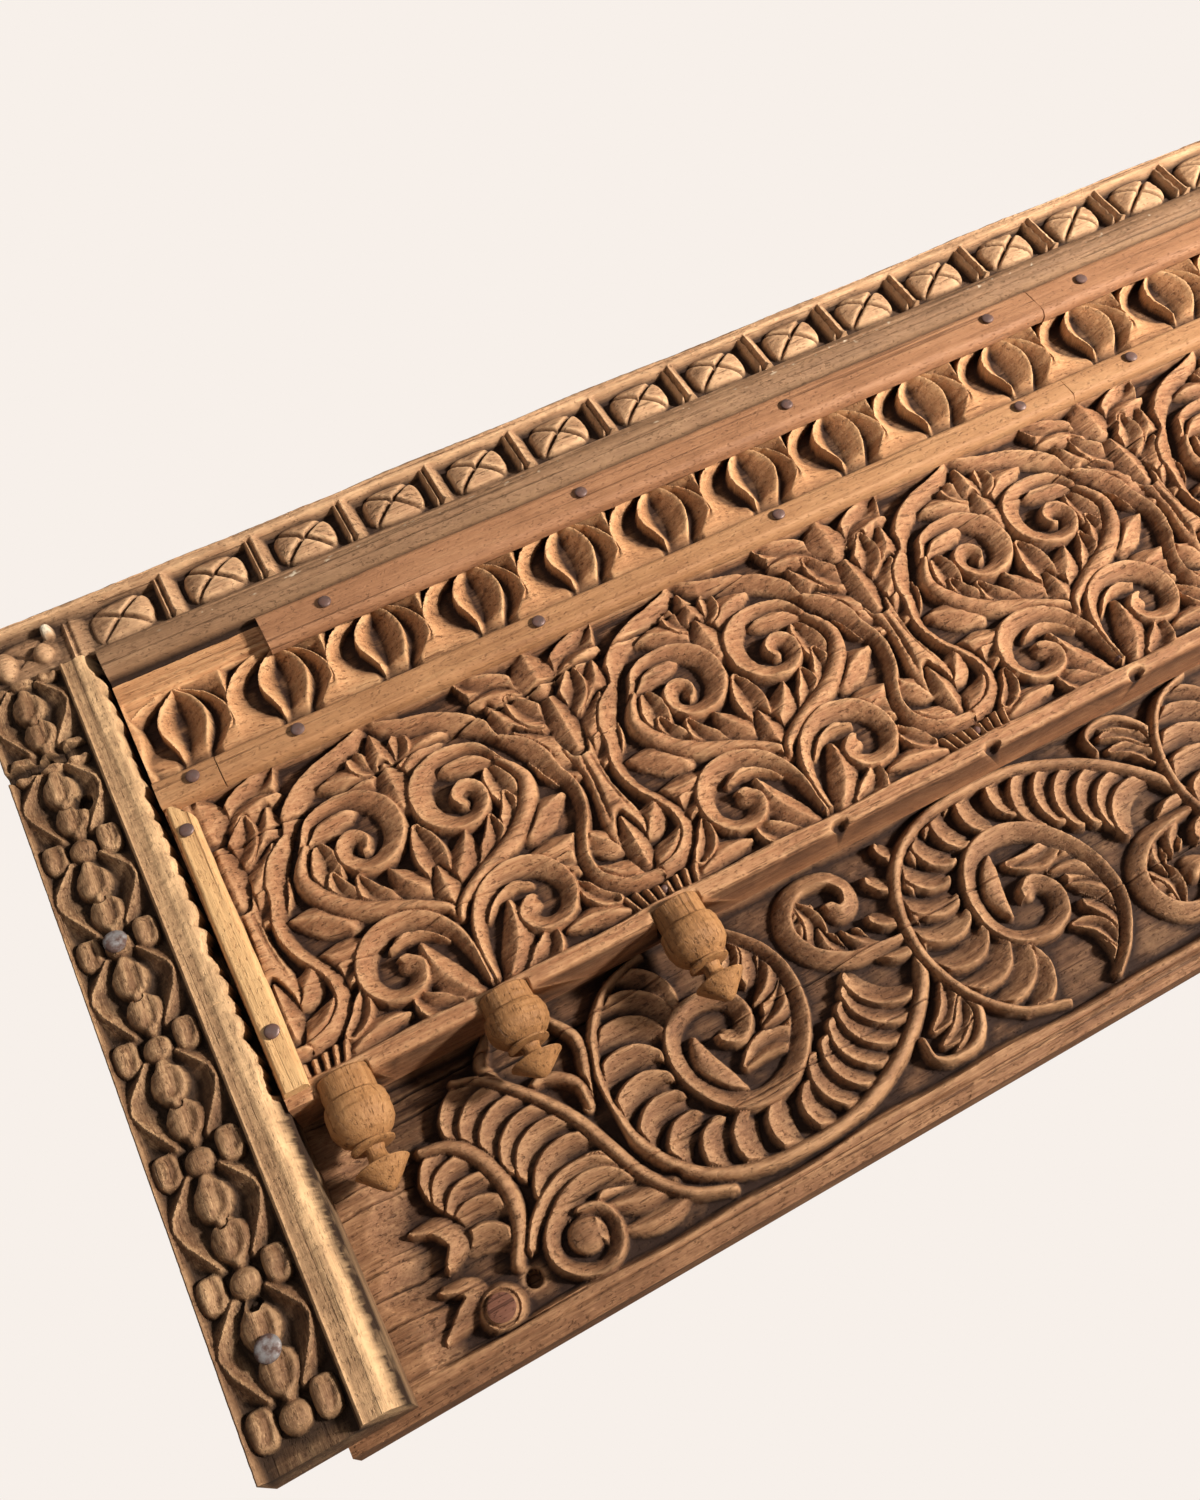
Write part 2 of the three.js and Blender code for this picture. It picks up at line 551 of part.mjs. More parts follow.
const stileTop = RAIL_SHOULDER - GAP;
const stileBlank = upright([
  [-STILE_WIDTH, BOARD_BACK], [-STILE_WIDTH, STILE_FACE + RIM], [-STILE_WIDTH + RIM, STILE_FACE],
  [-STILE_WIDTH + RIM, STILE_GROUND], [BAND_EDGE, STILE_GROUND], [BAND_EDGE + 2, STILE_FACE],
  [FILLET_EDGE, STILE_FACE], BEVEL_FOOT, [-GAP, BOARD_BACK],
], STILE_FOOT, stileTop);
const step = box([-STILE_WIDTH - 1, BAND_EDGE], [STILE_FACE - 1, STILE_GROUND + 2], STEP_HEIGHTS);
addCarved('left_stile', [stileBlank], stileForms(LEFT_STILE), [step], 'rail');
addCarved('right_stile', [mirrored(stileBlank)], stileForms(RIGHT_STILE).map(mirrored), [], 'rail');

// Battens over the joints, rounded along both edges
function battens(name, joints, foot, top, round) {
  const middle = (foot + top) / 2;
  const section = [
    [-GAP, foot], [-GAP, top], [BATTEN_FACE + round, top], [BATTEN_FACE, top - 2 * round],
    [BATTEN_FACE - round / 4, middle], [BATTEN_FACE, foot + 2 * round], [BATTEN_FACE + round, foot],
  ].reverse();
  for (let i = 0; i + 1 < joints.length; i += 1) {
    add(`${name}_${i + 1}`, lengthwise(section, joints[i] + GAP, joints[i + 1] - GAP), 'batten');
  }
}
const UPPER_ROUND = 3;
const LOWER_ROUND = 2;
battens('upper_batten', UPPER_BATTEN_JOINTS, UPPER_BATTEN_FOOT, UPPER_BATTEN_TOP, UPPER_ROUND);
battens('lower_batten', LOWER_BATTEN_JOINTS, LOWER_BATTEN_FOOT, LOWER_BATTEN_TOP, LOWER_ROUND);
const END_SHOULDER = 3;
const endSection = [
  [GAP, -GAP], [GAP, BATTEN_FACE + LOWER_ROUND], [END_SHOULDER, BATTEN_FACE],
  [END_BATTEN_WIDTH - END_SHOULDER, BATTEN_FACE], [END_BATTEN_WIDTH, BATTEN_FACE + LOWER_ROUND],
  [END_BATTEN_WIDTH, -GAP],
].reverse();
const endBatten = upright(endSection, END_BATTEN_FOOT, LOWER_BATTEN_FOOT - GAP);
add('left_end_batten', endBatten, 'batten');
add('right_end_batten', mirrored(endBatten), 'batten');

// Pendants: a collar, a bulging body, a ring, a thin neck and a pointed knob, turned in one
const PENDANT_PROFILE = [[14, 0], [14.5, 0.2], [16.5, 0.28], [16, 0.46], [10, 0.6],
  [5.5, 0.7], [5.5, 0.78], [12.5, 0.87], [3, 1]];
PENDANTS.forEach(([x, length], i) => {
  const head = SCROLL_FOOT + RECESS_HEIGHT - GAP;
  const turned = PENDANT_PROFILE.map(([radius, share]) => new THREE.Vector2(radius, -share * length));
  const profile = [new THREE.Vector2(0, 0), ...turned, new THREE.Vector2(0, -length)].reverse();
  const pendant = new THREE.LatheGeometry(profile, PENDANT_SIDES).rotateX(Math.PI / 2);
  add(`pendant_${i + 1}`, geometryOf(solidOf(pendant.translate(x, PENDANT_AXIS, head))), 'pendant');
});

// Nails, pins and the peg, each by its head
const battenCrest = BATTEN_FACE - 1;
const upperMiddle = (UPPER_BATTEN_FOOT + UPPER_BATTEN_TOP) / 2;
const lowerMiddle = (LOWER_BATTEN_FOOT + LOWER_BATTEN_TOP) / 2;
UPPER_NAILS.forEach((x, i) => nail(`upper_nail_${i + 1}`, x, battenCrest, upperMiddle, BATTEN_NAIL));
LOWER_NAILS.forEach((x, i) => nail(`lower_nail_${i + 1}`, x, battenCrest, lowerMiddle, BATTEN_NAIL));
for (const [side, mirror] of [['left', (x) => x], ['right', (x) => BOARD_LENGTH - x]]) {
  END_NAIL_HEIGHTS.forEach((z, i) => {
    nail(`${side}_end_nail_${i + 1}`, mirror(END_NAIL_AXIS), BATTEN_FACE, z, BATTEN_NAIL);
  });
  STILE_NAIL_HEIGHTS.forEach((z, i) => {
    nail(`${side}_stile_nail_${i + 1}`, mirror(CHAIN_AXIS), STILE_FACE, z, STILE_NAIL);
  });
}
pinAxes.forEach((x, i) => nail(`pin_${i + 1}`, x, SCROLL_GROUND, PIN_HEIGHT, PIN));
nail('wood_peg', PEG_SPOT[0], LOWER_FACE, PEG_SPOT[1], PEG, 'rail');

export default part;
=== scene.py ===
"""Looks of the carved wall panel: hand-carved boards, battens, turned pendants, nails and a peg.

All layout sizes are millimetres in the panel's own layout: x from the boards' left end, y into the
wall from the scroll board's face, z up from the panel's foot. Meshes are in metres in the CAD frame.
"""

import logging
from dataclasses import dataclass, field
from enum import Enum
from typing import NamedTuple

import bpy
import numpy as np
from mathutils import Matrix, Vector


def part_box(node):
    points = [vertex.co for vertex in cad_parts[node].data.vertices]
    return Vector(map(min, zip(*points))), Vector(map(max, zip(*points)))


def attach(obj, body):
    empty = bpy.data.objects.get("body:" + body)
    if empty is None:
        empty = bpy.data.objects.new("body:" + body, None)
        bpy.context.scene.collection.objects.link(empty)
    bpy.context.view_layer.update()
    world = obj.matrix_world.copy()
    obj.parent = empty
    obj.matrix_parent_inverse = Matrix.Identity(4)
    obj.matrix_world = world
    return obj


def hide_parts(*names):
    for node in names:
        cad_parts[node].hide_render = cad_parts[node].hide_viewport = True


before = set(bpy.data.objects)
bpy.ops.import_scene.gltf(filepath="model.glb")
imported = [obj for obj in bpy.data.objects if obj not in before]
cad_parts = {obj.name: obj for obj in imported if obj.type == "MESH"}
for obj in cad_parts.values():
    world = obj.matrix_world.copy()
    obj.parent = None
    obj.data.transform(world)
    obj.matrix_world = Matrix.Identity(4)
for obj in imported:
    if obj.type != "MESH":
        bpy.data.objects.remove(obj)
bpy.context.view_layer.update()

LOG = logging.getLogger("carved_panel")
CHALK_TONE = (0.66, 0.56, 0.42)
PENDANT_NODES = ("pendant_1", "pendant_2", "pendant_3")
# The first mask is painted shade in the hollows, partly dirt.
MASKS = ("dirt_and_shade", "crest", "bare", "chalk")
LEAF_GROOVE = 1.7
BACK_MARGIN = 4.0
SHARP_EDGE = 0.6
THINNED_EDGE = 0.75
HEAD_EDGE = 0.9
GRAIN_BUMP = 0.9
GRAIN_DEPTH = 0.0014
WOOD_SHINE = 0.28
IRON_ROUGHNESS = 0.42
RUST_ROUGHNESS = 0.8
IRON_METALLIC = 0.45
RUST_METALLIC = 0.1
RUST_BUMP = 0.5
RUST_DEPTH = 0.0005
Spread = float | tuple[float, ...] | list[float] | np.ndarray
MM = 0.001

BOARD_LENGTH = 830.0
STILE_WIDTH = 69.0
LOWER_TAIL = 35.0
GAP = 0.3
LOWER_FOOT, LOWER_TOP = 3.0, 190.0
STILE_FOOT, STILE_TOP = 8.0, 449.7
SCROLL_FOOT, SCROLL_TOP = 150.0, 341.0
LEAF_FOOT, LEAF_TOP = 341.3, 425.0
MOULDING_FOOT, MOULDING_TOP = 425.3, 449.9
RAIL_FOOT, RAIL_TOP = 450.0, 489.0
UPPER_BATTEN_START = 88.0
BOARD_BACK = 31.7
LOWER_FACE = 32.0
PANEL_BACK = 54.0
STILE_GROUND = 1.0

BOARD_TRIANGLES = 196_000
BAND_TRIANGLES = 150_000
STILE_TRIANGLES = 90_000
MOULDING_TRIANGLES = 40_000
HALF_BAY = 99.5
TREE_AXES = tuple(17.0 + 2 * HALF_BAY * k for k in range(5))
GROUP_AXES = tuple(116.5 + 2 * HALF_BAY * k for k in range(4))
HANGING_AXES = tuple(sorted(TREE_AXES + GROUP_AXES))

ORIGIN = np.array(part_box("scroll_board")[0]) - np.array([0.0, 0.0, SCROLL_FOOT * MM])


class Section(Enum):
    """Cross-section of a carved stroke, as height over its half-width."""

    CROWNED = "crowned"
    LEANING = "leaning"
    RIDGED = "ridged"
    VALLEY = "valley"
    SCOOPED = "scooped"
    SLOPING = "sloping"

    def height(self, across: np.ndarray) -> np.ndarray:
        """Share of the full height at a place across the stroke.

        Crowned is a parabola, leaning falls from the right edge to the left one, ridged is a roof,
        valley is two planes that fall to the middle, scooped falls steeply from the right edge in a
        hollow curve, sloping is a crest with long hollow sides.

        Args:
            across: Signed place from -1, the right edge, to 1, the left edge.

        Returns:
            Height shares of the same shape.
        """
        if self is Section.CROWNED:
            return 1.0 - 0.35 * across**2
        if self is Section.LEANING:
            return 1.0 - 0.35 * (1.0 + across) + 0.06 * (1.0 - across**2)
        if self is Section.RIDGED:
            return 1.0 - 0.66 * np.abs(across)
        if self is Section.SCOOPED:
            return 0.2 + 0.8 * ((1.0 - across) / 2.0) ** 1.25
        if self is Section.SLOPING:
            return 1.0 - 0.92 * np.abs(across) ** 0.58
        return 0.36 + 0.64 * np.abs(across)


class Leaf(NamedTuple):
    """One leaf of a motif: where it springs from and ends, its widest half-width, section and bow."""

    base: tuple[float, float]
    tip: tuple[float, float]
    half: float
    section: Section = Section.RIDGED
    bend: float = 0.12
    share: float = 1.0


class Stroke(NamedTuple):
    """One stroke of a motif: its path, half-widths along it, section, section's turn and height share."""

    path: tuple[tuple[float, float], ...]
    halves: tuple[float, ...]
    section: Section = Section.CROWNED
    turn: int = 1
    share: float = 1.0


class Feathers(NamedTuple):
    """Row of lobes on a spine: their number, lengths, half-width, first and last angle, and span."""

    count: int
    lengths: tuple[float, ...]
    half: float
    turns: tuple[float, float]
    span: tuple[float, float]


@dataclass(frozen=True)
class Setting:
    """Where a motif is set: its origin, mirrored to the left or turned over where asked.

    Attributes:
        x: Length of the motif's origin.
        z: Height of the motif's origin.
        side: -1 mirrors the motif to the left.
        over: -1 turns the motif over.
    """

    x: float
    z: float = 0.0
    side: int = 1
    over: int = 1

    @property
    def hand(self) -> int:
        """-1 where the motif is seen as in a mirror."""
        return self.side * self.over

    def at(self, spots: "np.ndarray | list") -> np.ndarray:
        """Spots of the motif, moved to their setting."""
        return np.asarray(spots, float) * [self.side, self.over] + [self.x, self.z]


class Grain(Enum):
    """Direction that the wood's grain runs in."""

    LENGTHWISE = "lengthwise"
    UPRIGHT = "upright"


def place(layout: np.ndarray) -> np.ndarray:
    """Layout millimetres as metres in the CAD frame.

    Args:
        layout: Points as rows of x, y and z.

    Returns:
        The same rows in the CAD frame.
    """
    return layout * MM + ORIGIN


def to_layout(box: tuple) -> tuple[np.ndarray, np.ndarray]:
    """Low and high corners of a box in metres, as layout millimetres."""
    low, high = box
    return (np.array(low) - ORIGIN) / MM, (np.array(high) - ORIGIN) / MM


def curve(spots: list[tuple[float, float]], steps: int = 14) -> np.ndarray:
    """Smooth path through a few spots, as a Catmull-Rom spline.

    Args:
        spots: Places that the path runs through.
        steps: Samples for each stretch.

    Returns:
        Path points as rows.
    """
    knots = np.array(spots, float)
    ends = np.vstack([2 * knots[0] - knots[1], knots, 2 * knots[-1] - knots[-2]])
    share = np.linspace(0.0, 1.0, steps, endpoint=False)[:, None, None]
    a, b, c, d = ends[:-3], ends[1:-2], ends[2:-1], ends[3:]
    bend = 2 * b + share * (c - a) + share**2 * (2 * a - 5 * b + 4 * c - d)
    bend = 0.5 * (bend + share**3 * (3 * b - a - 3 * c + d))
    return np.vstack([bend.transpose(1, 0, 2).reshape(-1, 2), knots[-1:]])


def resample(path: np.ndarray, step: float) -> np.ndarray:
    """The same path with points at even steps along its length."""
    run = np.concatenate([[0.0], np.cumsum(np.hypot(*np.diff(path, axis=0).T))])
    stops = np.linspace(0.0, run[-1], max(int(run[-1] / step), 3))
    return np.stack([np.interp(stops, run, path[:, 0]), np.interp(stops, run, path[:, 1])], 1)


def soften(heights: np.ndarray, radius: int) -> np.ndarray:
    """Field blurred by two passes of a square moving mean, worked out from running sums."""
    out = heights.astype(np.float64)
    width = 2 * radius + 1
    for axis in (0, 1, 0, 1):
        padded = np.pad(out, [(radius + 1, radius) if a == axis else (0, 0) for a in (0, 1)], mode="edge")
        sums = np.cumsum(padded, axis=axis)
        upper = np.take(sums, np.arange(width, sums.shape[axis]), axis=axis)
        lower = np.take(sums, np.arange(0, sums.shape[axis] - width), axis=axis)
        out = (upper - lower) / width
    return out


def mottle(shape: tuple[int, int], cell: tuple[int, int], rng: np.random.Generator) -> np.ndarray:
    """Smooth random field from -1 to 1: coarse random values, interpolated along each axis in turn.

    Args:
        shape: Rows and columns wanted.
        cell: Rows and columns of one coarse cell.
        rng: Seeded source of random values.

    Returns:
        Random field of that shape.
    """
    coarse = rng.uniform(-1.0, 1.0, (shape[0] // cell[0] + 3, shape[1] // cell[1] + 3))
    rows = np.arange(shape[0]) / cell[0]
    columns = np.arange(shape[1]) / cell[1]
    r0, c0 = rows.astype(int), columns.astype(int)
    fr, fc = rows - r0, columns - c0
    fr, fc = (fr * fr * (3 - 2 * fr))[:, None], (fc * fc * (3 - 2 * fc))[None, :]
    low = coarse[r0][:, c0] * (1 - fc) + coarse[r0][:, c0 + 1] * fc
    high = coarse[r0 + 1][:, c0] * (1 - fc) + coarse[r0 + 1][:, c0 + 1] * fc
    return low * (1 - fr) + high * fr


@dataclass
class Relief:
    """Carved field: heights in millimetres over a ground plane, on a grid of length and height.

    Attributes:
        x_span: First and last length.
        z_span: First and last height.
        pitch: Grid step.
        seed: Start of the random draws.
        top: Full height of the carving.
    """

    x_span: tuple[float, float]
    z_span: tuple[float, float]
    pitch: float
    seed: int
    top: float
    x: np.ndarray = field(init=False)
    z: np.ndarray = field(init=False)
    height: np.ndarray = field(init=False)
    bare: np.ndarray = field(init=False)
    chalk: np.ndarray = field(init=False)
    rng: np.random.Generator = field(init=False)

    def __post_init__(self) -> None:
        """Lays out the grid with its ground at zero."""
        columns = int(round((self.x_span[1] - self.x_span[0]) / self.pitch)) + 1
        rows = int(round((self.z_span[1] - self.z_span[0]) / self.pitch)) + 1
        self.x = np.linspace(*self.x_span, columns)
        self.z = np.linspace(*self.z_span, rows)
        self.height = np.zeros((rows, columns))
        self.bare = np.zeros((rows, columns))
        self.chalk = np.zeros((rows, columns))
        self.rng = np.random.default_rng(self.seed)

    def window(self, low: np.ndarray, high: np.ndarray) -> tuple[slice, slice] | None:
        """Rows and columns between two corners, or None where they hold nothing."""
        c0, c1 = np.searchsorted(self.x, [low[0], high[0]])
        r0, r1 = np.searchsorted(self.z, [low[1], high[1]])
        if c1 <= c0 or r1 <= r0:
            return None
        return slice(r0, r1), slice(c0, c1)

    def sweep(self, path: np.ndarray, half: Spread, top: Spread,
              section: Section = Section.CROWNED, flip: int = 1, wall: float = 3.2,
              groove: float = 0.0) -> None:
        """Raises a stroke along a path.

        The height at a place is the stroke's top times its section's share across it, less the wall's
        slope times the distance past its edge. Without a groove the higher of two strokes stands where
        they meet; with one, the new stroke lies on top and cuts a narrow groove about itself.

        Args:
            path: Points along the stroke.
            half: Half-width, or several evenly spread from the start to the end.
            top: Height over the ground, spread in the same way.
            section: Cross-section.
            flip: -1 swaps the two sides of the section.
            wall: Slope of the side walls.
            groove: Width of the groove.
        """
        line = resample(path, self.pitch * 0.9)
        along = np.linspace(0.0, 1.0, len(line))
        halves = np.interp(along, np.linspace(0, 1, np.size(half)), np.atleast_1d(half))
        tops = np.interp(along, np.linspace(0, 1, np.size(top)), np.atleast_1d(top))
        reach = halves.max() + max(tops.max() / wall, groove) + self.pitch
        found = self.window(line.min(0) - reach, line.max(0) + reach)
        if found is None:
            return
        dx = self.x[found[1]][None, :, None].astype(np.float32) - line[:, 0].astype(np.float32)
        dz = self.z[found[0]][:, None, None].astype(np.float32) - line[:, 1].astype(np.float32)
        gaps = dx * dx + dz * dz
        near = gaps.argmin(-1)
        distance = np.sqrt(np.take_along_axis(gaps, near[..., None], -1)[..., 0])
        run = np.gradient(line, axis=0)
        run /= np.hypot(run[:, 0], run[:, 1])[:, None] + 1e-9
        off_x = self.x[found[1]][None, :] - line[near, 0]
        off_z = self.z[found[0]][:, None] - line[near, 1]
        side = np.sign(run[near, 0] * off_z - run[near, 1] * off_x)
        across = np.clip(side * distance / halves[near], -1.0, 1.0) * flip
        beyond = distance - halves[near]
        raised = tops[near] * section.height(across) - wall * np.maximum(beyond, 0.0)
        below = self.height[found]
        if groove > 0.0:
            sunk = tops[near] * (0.12 + 0.88 * np.clip(beyond / groove, 0.0, 1.0))
            below = np.where(beyond < 0.0, 0.0, np.where(beyond < groove, np.minimum(below, sunk), below))
        self.height[found] = np.maximum(below, raised)

    def stroke(self, setting: Setting, stroke: Stroke, groove: float) -> None:
        """Raises a motif's stroke along a smooth path, with a groove about it.

        Args:
            setting: Where its motif is set.
            stroke: The stroke within its motif.
            groove: Width of the groove.
        """
        self.sweep(setting.at(curve(stroke.path)), stroke.halves, self.top * stroke.share, stroke.section,
                   stroke.turn * setting.hand, groove=groove)

    def leaf(self, setting: Setting, leaf: Leaf) -> None:
        """Raises a pointed leaf on a bowed middle line; its half-width is a skewed sine of its length.

        Args:
            setting: Where its motif is set.
            leaf: The leaf within its motif.
        """
        drift = self.rng.uniform(-0.7, 0.7, (2, 2))
        start, end = setting.at([leaf.base, leaf.tip]) + drift
        run = end - start
        share = np.linspace(0.0, 1.0, 40)[:, None]
        bow = leaf.bend * setting.hand * np.sin(np.pi * share) * np.array([-run[1], run[0]])
        spread = np.sin(np.pi * np.linspace(0.08, 0.985, 11) ** 0.82) ** 0.75
        width = 1.1 * leaf.half * (0.16 + 0.84 * spread)
        rise = self.top * leaf.share * (0.76 + 0.24 * np.sin(np.pi * np.linspace(0.1, 0.85, 11)))
        middle = start + run * share + bow
        self.sweep(middle, width, rise, leaf.section, setting.hand, groove=LEAF_GROOVE)

    def dome(self, x: float, z: float, across: float, tall: float, top: float, power: float = 0.55,
             square: float = 2.0) -> None:
        """Raises a dome, its height a power of one less the sum of its shares of radius.

        Args:
            x: Length of its middle.
            z: Height of its middle.
            across: Width.
            tall: Height of its outline.
            top: Height over the ground.
            power: Low values flatten the top.
            square: 2 for an oval outline, more for a squarish one.
        """
        reach = np.array([across, tall]) / 2
        found = self.window(np.array([x, z]) - reach, np.array([x, z]) + reach)
        if found is None:
            return
        share = np.abs((self.x[found[1]][None, :] - x) / reach[0]) ** square
        share = share + np.abs((self.z[found[0]][:, None] - z) / reach[1]) ** square
        raised = top * np.clip(1.0 - share, 0.0, 1.0) ** power
        self.height[found] = np.maximum(self.height[found], raised)

    def cut(self, path: np.ndarray, half: float, depth: float) -> None:
        """Cuts a V-shaped crack along a path, tapering out at both ends."""
        line = resample(path, self.pitch * 0.9)
        found = self.window(line.min(0) - half, line.max(0) + half)
        if found is None:
            return
        dx = self.x[found[1]][None, :, None] - line[:, 0]
        dz = self.z[found[0]][:, None, None] - line[:, 1]
        gaps = dx * dx + dz * dz
        near = gaps.argmin(-1)
        distance = np.sqrt(np.take_along_axis(gaps, near[..., None], -1)[..., 0])
        fade = np.sin(np.pi * np.clip(near / (len(line) - 1), 0.02, 0.98)) ** 0.4
        self.height[found] -= depth * fade * np.clip(1.0 - distance / half, 0.0, 1.0)

    def crack(self, x0: float, x1: float, z: float, half: float, depth: float, slope: float = 0.0) -> None:
        """Cuts a crack that wanders along the grain between two lengths."""
        xs = np.linspace(x0, x1, 24)
        walk = np.cumsum(self.rng.uniform(-0.35, 0.35, xs.size))
        self.cut(np.stack([xs, z + slope * (xs - x0) + walk], 1), half, depth)

    def tool_marks(self, strength: float) -> None:
        """Roughens the field with broad knife facets and finer marks drawn out along the grain."""
        shape = self.height.shape
        coarse = mottle(shape, (5, 9), self.rng) + 0.6 * mottle(shape, (3, 4), self.rng)
        fibre = mottle(shape, (1, 22), self.rng) + 0.6 * mottle(shape, (2, 60), self.rng)
        self.height += strength * (0.55 * coarse + 0.35 * fibre)

    def steady(self) -> None:
        """Takes the grid's steps out of the walls with a blur of one cell, kept from the flats."""
        self.height = 0.6 * self.height + 0.4 * soften(self.height, 1)

    def shade(self) -> tuple[np.ndarray, np.ndarray]:
        """Painted-shade and crest masks: how far a place lies under or over its blurred surroundings.

        Returns:
            The cavity mask, painted shade and partly dirt, which also grows with the depth below the full
            height, and the crest mask.
        """
        wide = soften(self.height, max(int(4.5 / self.pitch), 1)) - self.height
        near = self.height - soften(self.height, max(int(1.6 / self.pitch), 1))
        # Painted shade: the deeper a place lies below the full height, the darker it is painted.
        sunk = np.clip(1.0 - self.height / self.top, 0.0, 1.3)
        return np.clip(wide / 4.5 + 0.62 * sunk**1.6, 0.0, 1.0), np.clip(near / 0.75, 0.0, 1.0)


def new_piece(name: str, vertices: np.ndarray, faces: list, node: str,
              material: bpy.types.Material, sharp: float = 0.7) -> bpy.types.Object:
    """Mesh object in the CAD frame that rides on the panel and stands for a CAD node.

    Args:
        name: Object name.
        vertices: Layout millimetres as rows.
        faces: Arrays of faces, each with its own number of corners.
        node: CAD node that it replaces.
        material: Finish.
        sharp: Angle in radians past which an edge is sharp.

    Returns:
        The new object.
    """
    mesh = bpy.data.meshes.new(name)
    polygons = [list(map(int, face)) for group in faces for face in group]
    mesh.from_pydata(place(vertices).tolist(), [], polygons)
    mesh.validate()
    mesh.materials.append(material)
    piece = bpy.data.objects.new(name, mesh)
    bpy.context.scene.collection.objects.link(piece)
    mesh.shade_smooth()
    mesh.set_sharp_from_angle(angle=sharp)
    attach(piece, "root")
    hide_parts(node)
    LOG.info("%s: %d faces", name, len(mesh.polygons))
    return piece


def grid_faces(rows: int, columns: int, wrap: bool = False) -> np.ndarray:
    """Quads of a grid of vertices stored row by row; wrap joins the last row to the first."""
    index = np.arange(rows * columns).reshape(rows, columns)
    upper = np.roll(index, -1, axis=0) if wrap else index[1:]
    lower = index if wrap else index[:-1]
    return np.stack([lower[:, :-1], lower[:, 1:], upper[:, 1:], upper[:, :-1]], -1).reshape(-1, 4)


@dataclass
class CarvedBoard:
    """Board with a carved front: the relief's grid, closed by plain sides and a flat back.

    Attributes:
        node: CAD node that the board replaces.
        slot: Record's material slot; not used.
        relief: Carved front.
        ground: Depth of the relief's zero height.
        back: Depth of the back.
        triangles: Most triangles that the finished mesh keeps.
    """

    node: str
    slot: str
    relief: Relief
    ground: float
    back: float
    triangles: int

    def build(self, material: bpy.types.Material) -> bpy.types.Object:
        """Front grid, two back rows and two end faces, thinned where the front is flat.

        A vertex at length x and height z lies at the ground's depth less the relief there. The loop of
        rows runs up the front and down the back, so that the board is closed along its length.

        Args:
            material: Finish of the board.

        Returns:
            The dressed board.
        """
        relief = self.relief
        rows, columns = relief.height.shape
        length = np.broadcast_to(relief.x, (rows, columns))
        level = np.broadcast_to(relief.z[:, None], (rows, columns))
        front = np.stack([length, self.ground - relief.height, level], -1)
        behind = np.full(columns, self.back)
        upper = np.stack([relief.x, behind, np.full(columns, relief.z[-1])], -1)
        lower = np.stack([relief.x, behind, np.full(columns, relief.z[0])], -1)
        loop = np.concatenate([front, upper[None], lower[None]])
        total = rows + 2
        index = np.arange(total * columns).reshape(total, columns)
        caps = [index[::-1, 0], index[:, -1]]
        piece = new_piece(self.node + "_carved", loop.reshape(-1, 3),
                          [grid_faces(total, columns, wrap=True), caps], self.node, material)
        self.thin(piece)
        self.mask(piece)
        return piece

    def thin(self, piece: bpy.types.Object) -> None:
        """Collapses edges where the surface is flattest, down to the board's share of triangles."""
        count = sum(len(p.vertices) - 2 for p in piece.data.polygons)
        if count <= self.triangles:
            return
        shrink = piece.modifiers.new("thin", "DECIMATE")
        shrink.ratio = self.triangles / count
        shrink.use_collapse_triangulate = True
        depsgraph = bpy.context.evaluated_depsgraph_get()
        thinned = bpy.data.meshes.new_from_object(piece.evaluated_get(depsgraph), depsgraph=depsgraph)
        old = piece.data
        piece.modifiers.clear()
        piece.data = thinned
        thinned.name = old.name + "_thin"
        bpy.data.meshes.remove(old)
        thinned.shade_smooth()
        thinned.set_sharp_from_angle(angle=THINNED_EDGE)

    def mask(self, piece: bpy.types.Object) -> None:
        """Stores the cavity, crest, bare and chalk masks on the vertices, off the relief's grid; the cavity
        mask is painted shade, partly dirt.
        """
        mesh = piece.data
        spots = np.empty(len(mesh.vertices) * 3, np.float32)
        mesh.vertices.foreach_get("co", spots)
        layout = (spots.reshape(-1, 3) - ORIGIN) / MM
        relief = self.relief
        column = np.round((layout[:, 0] - relief.x[0]) / relief.pitch)
        column = np.clip(column, 0, relief.x.size - 1).astype(int)
        row = np.round((layout[:, 2] - relief.z[0]) / relief.pitch)
        row = np.clip(row, 0, relief.z.size - 1).astype(int)
        on_front = layout[:, 1] < self.back - BACK_MARGIN
        masks = (*relief.shade(), relief.bare, relief.chalk)
        for name, mask in zip(MASKS, masks):
            values = np.where(on_front, mask[row, column], 0.0).astype(np.float32)
            mesh.attributes.new(name, "FLOAT", "POINT").data.foreach_set("value", values)


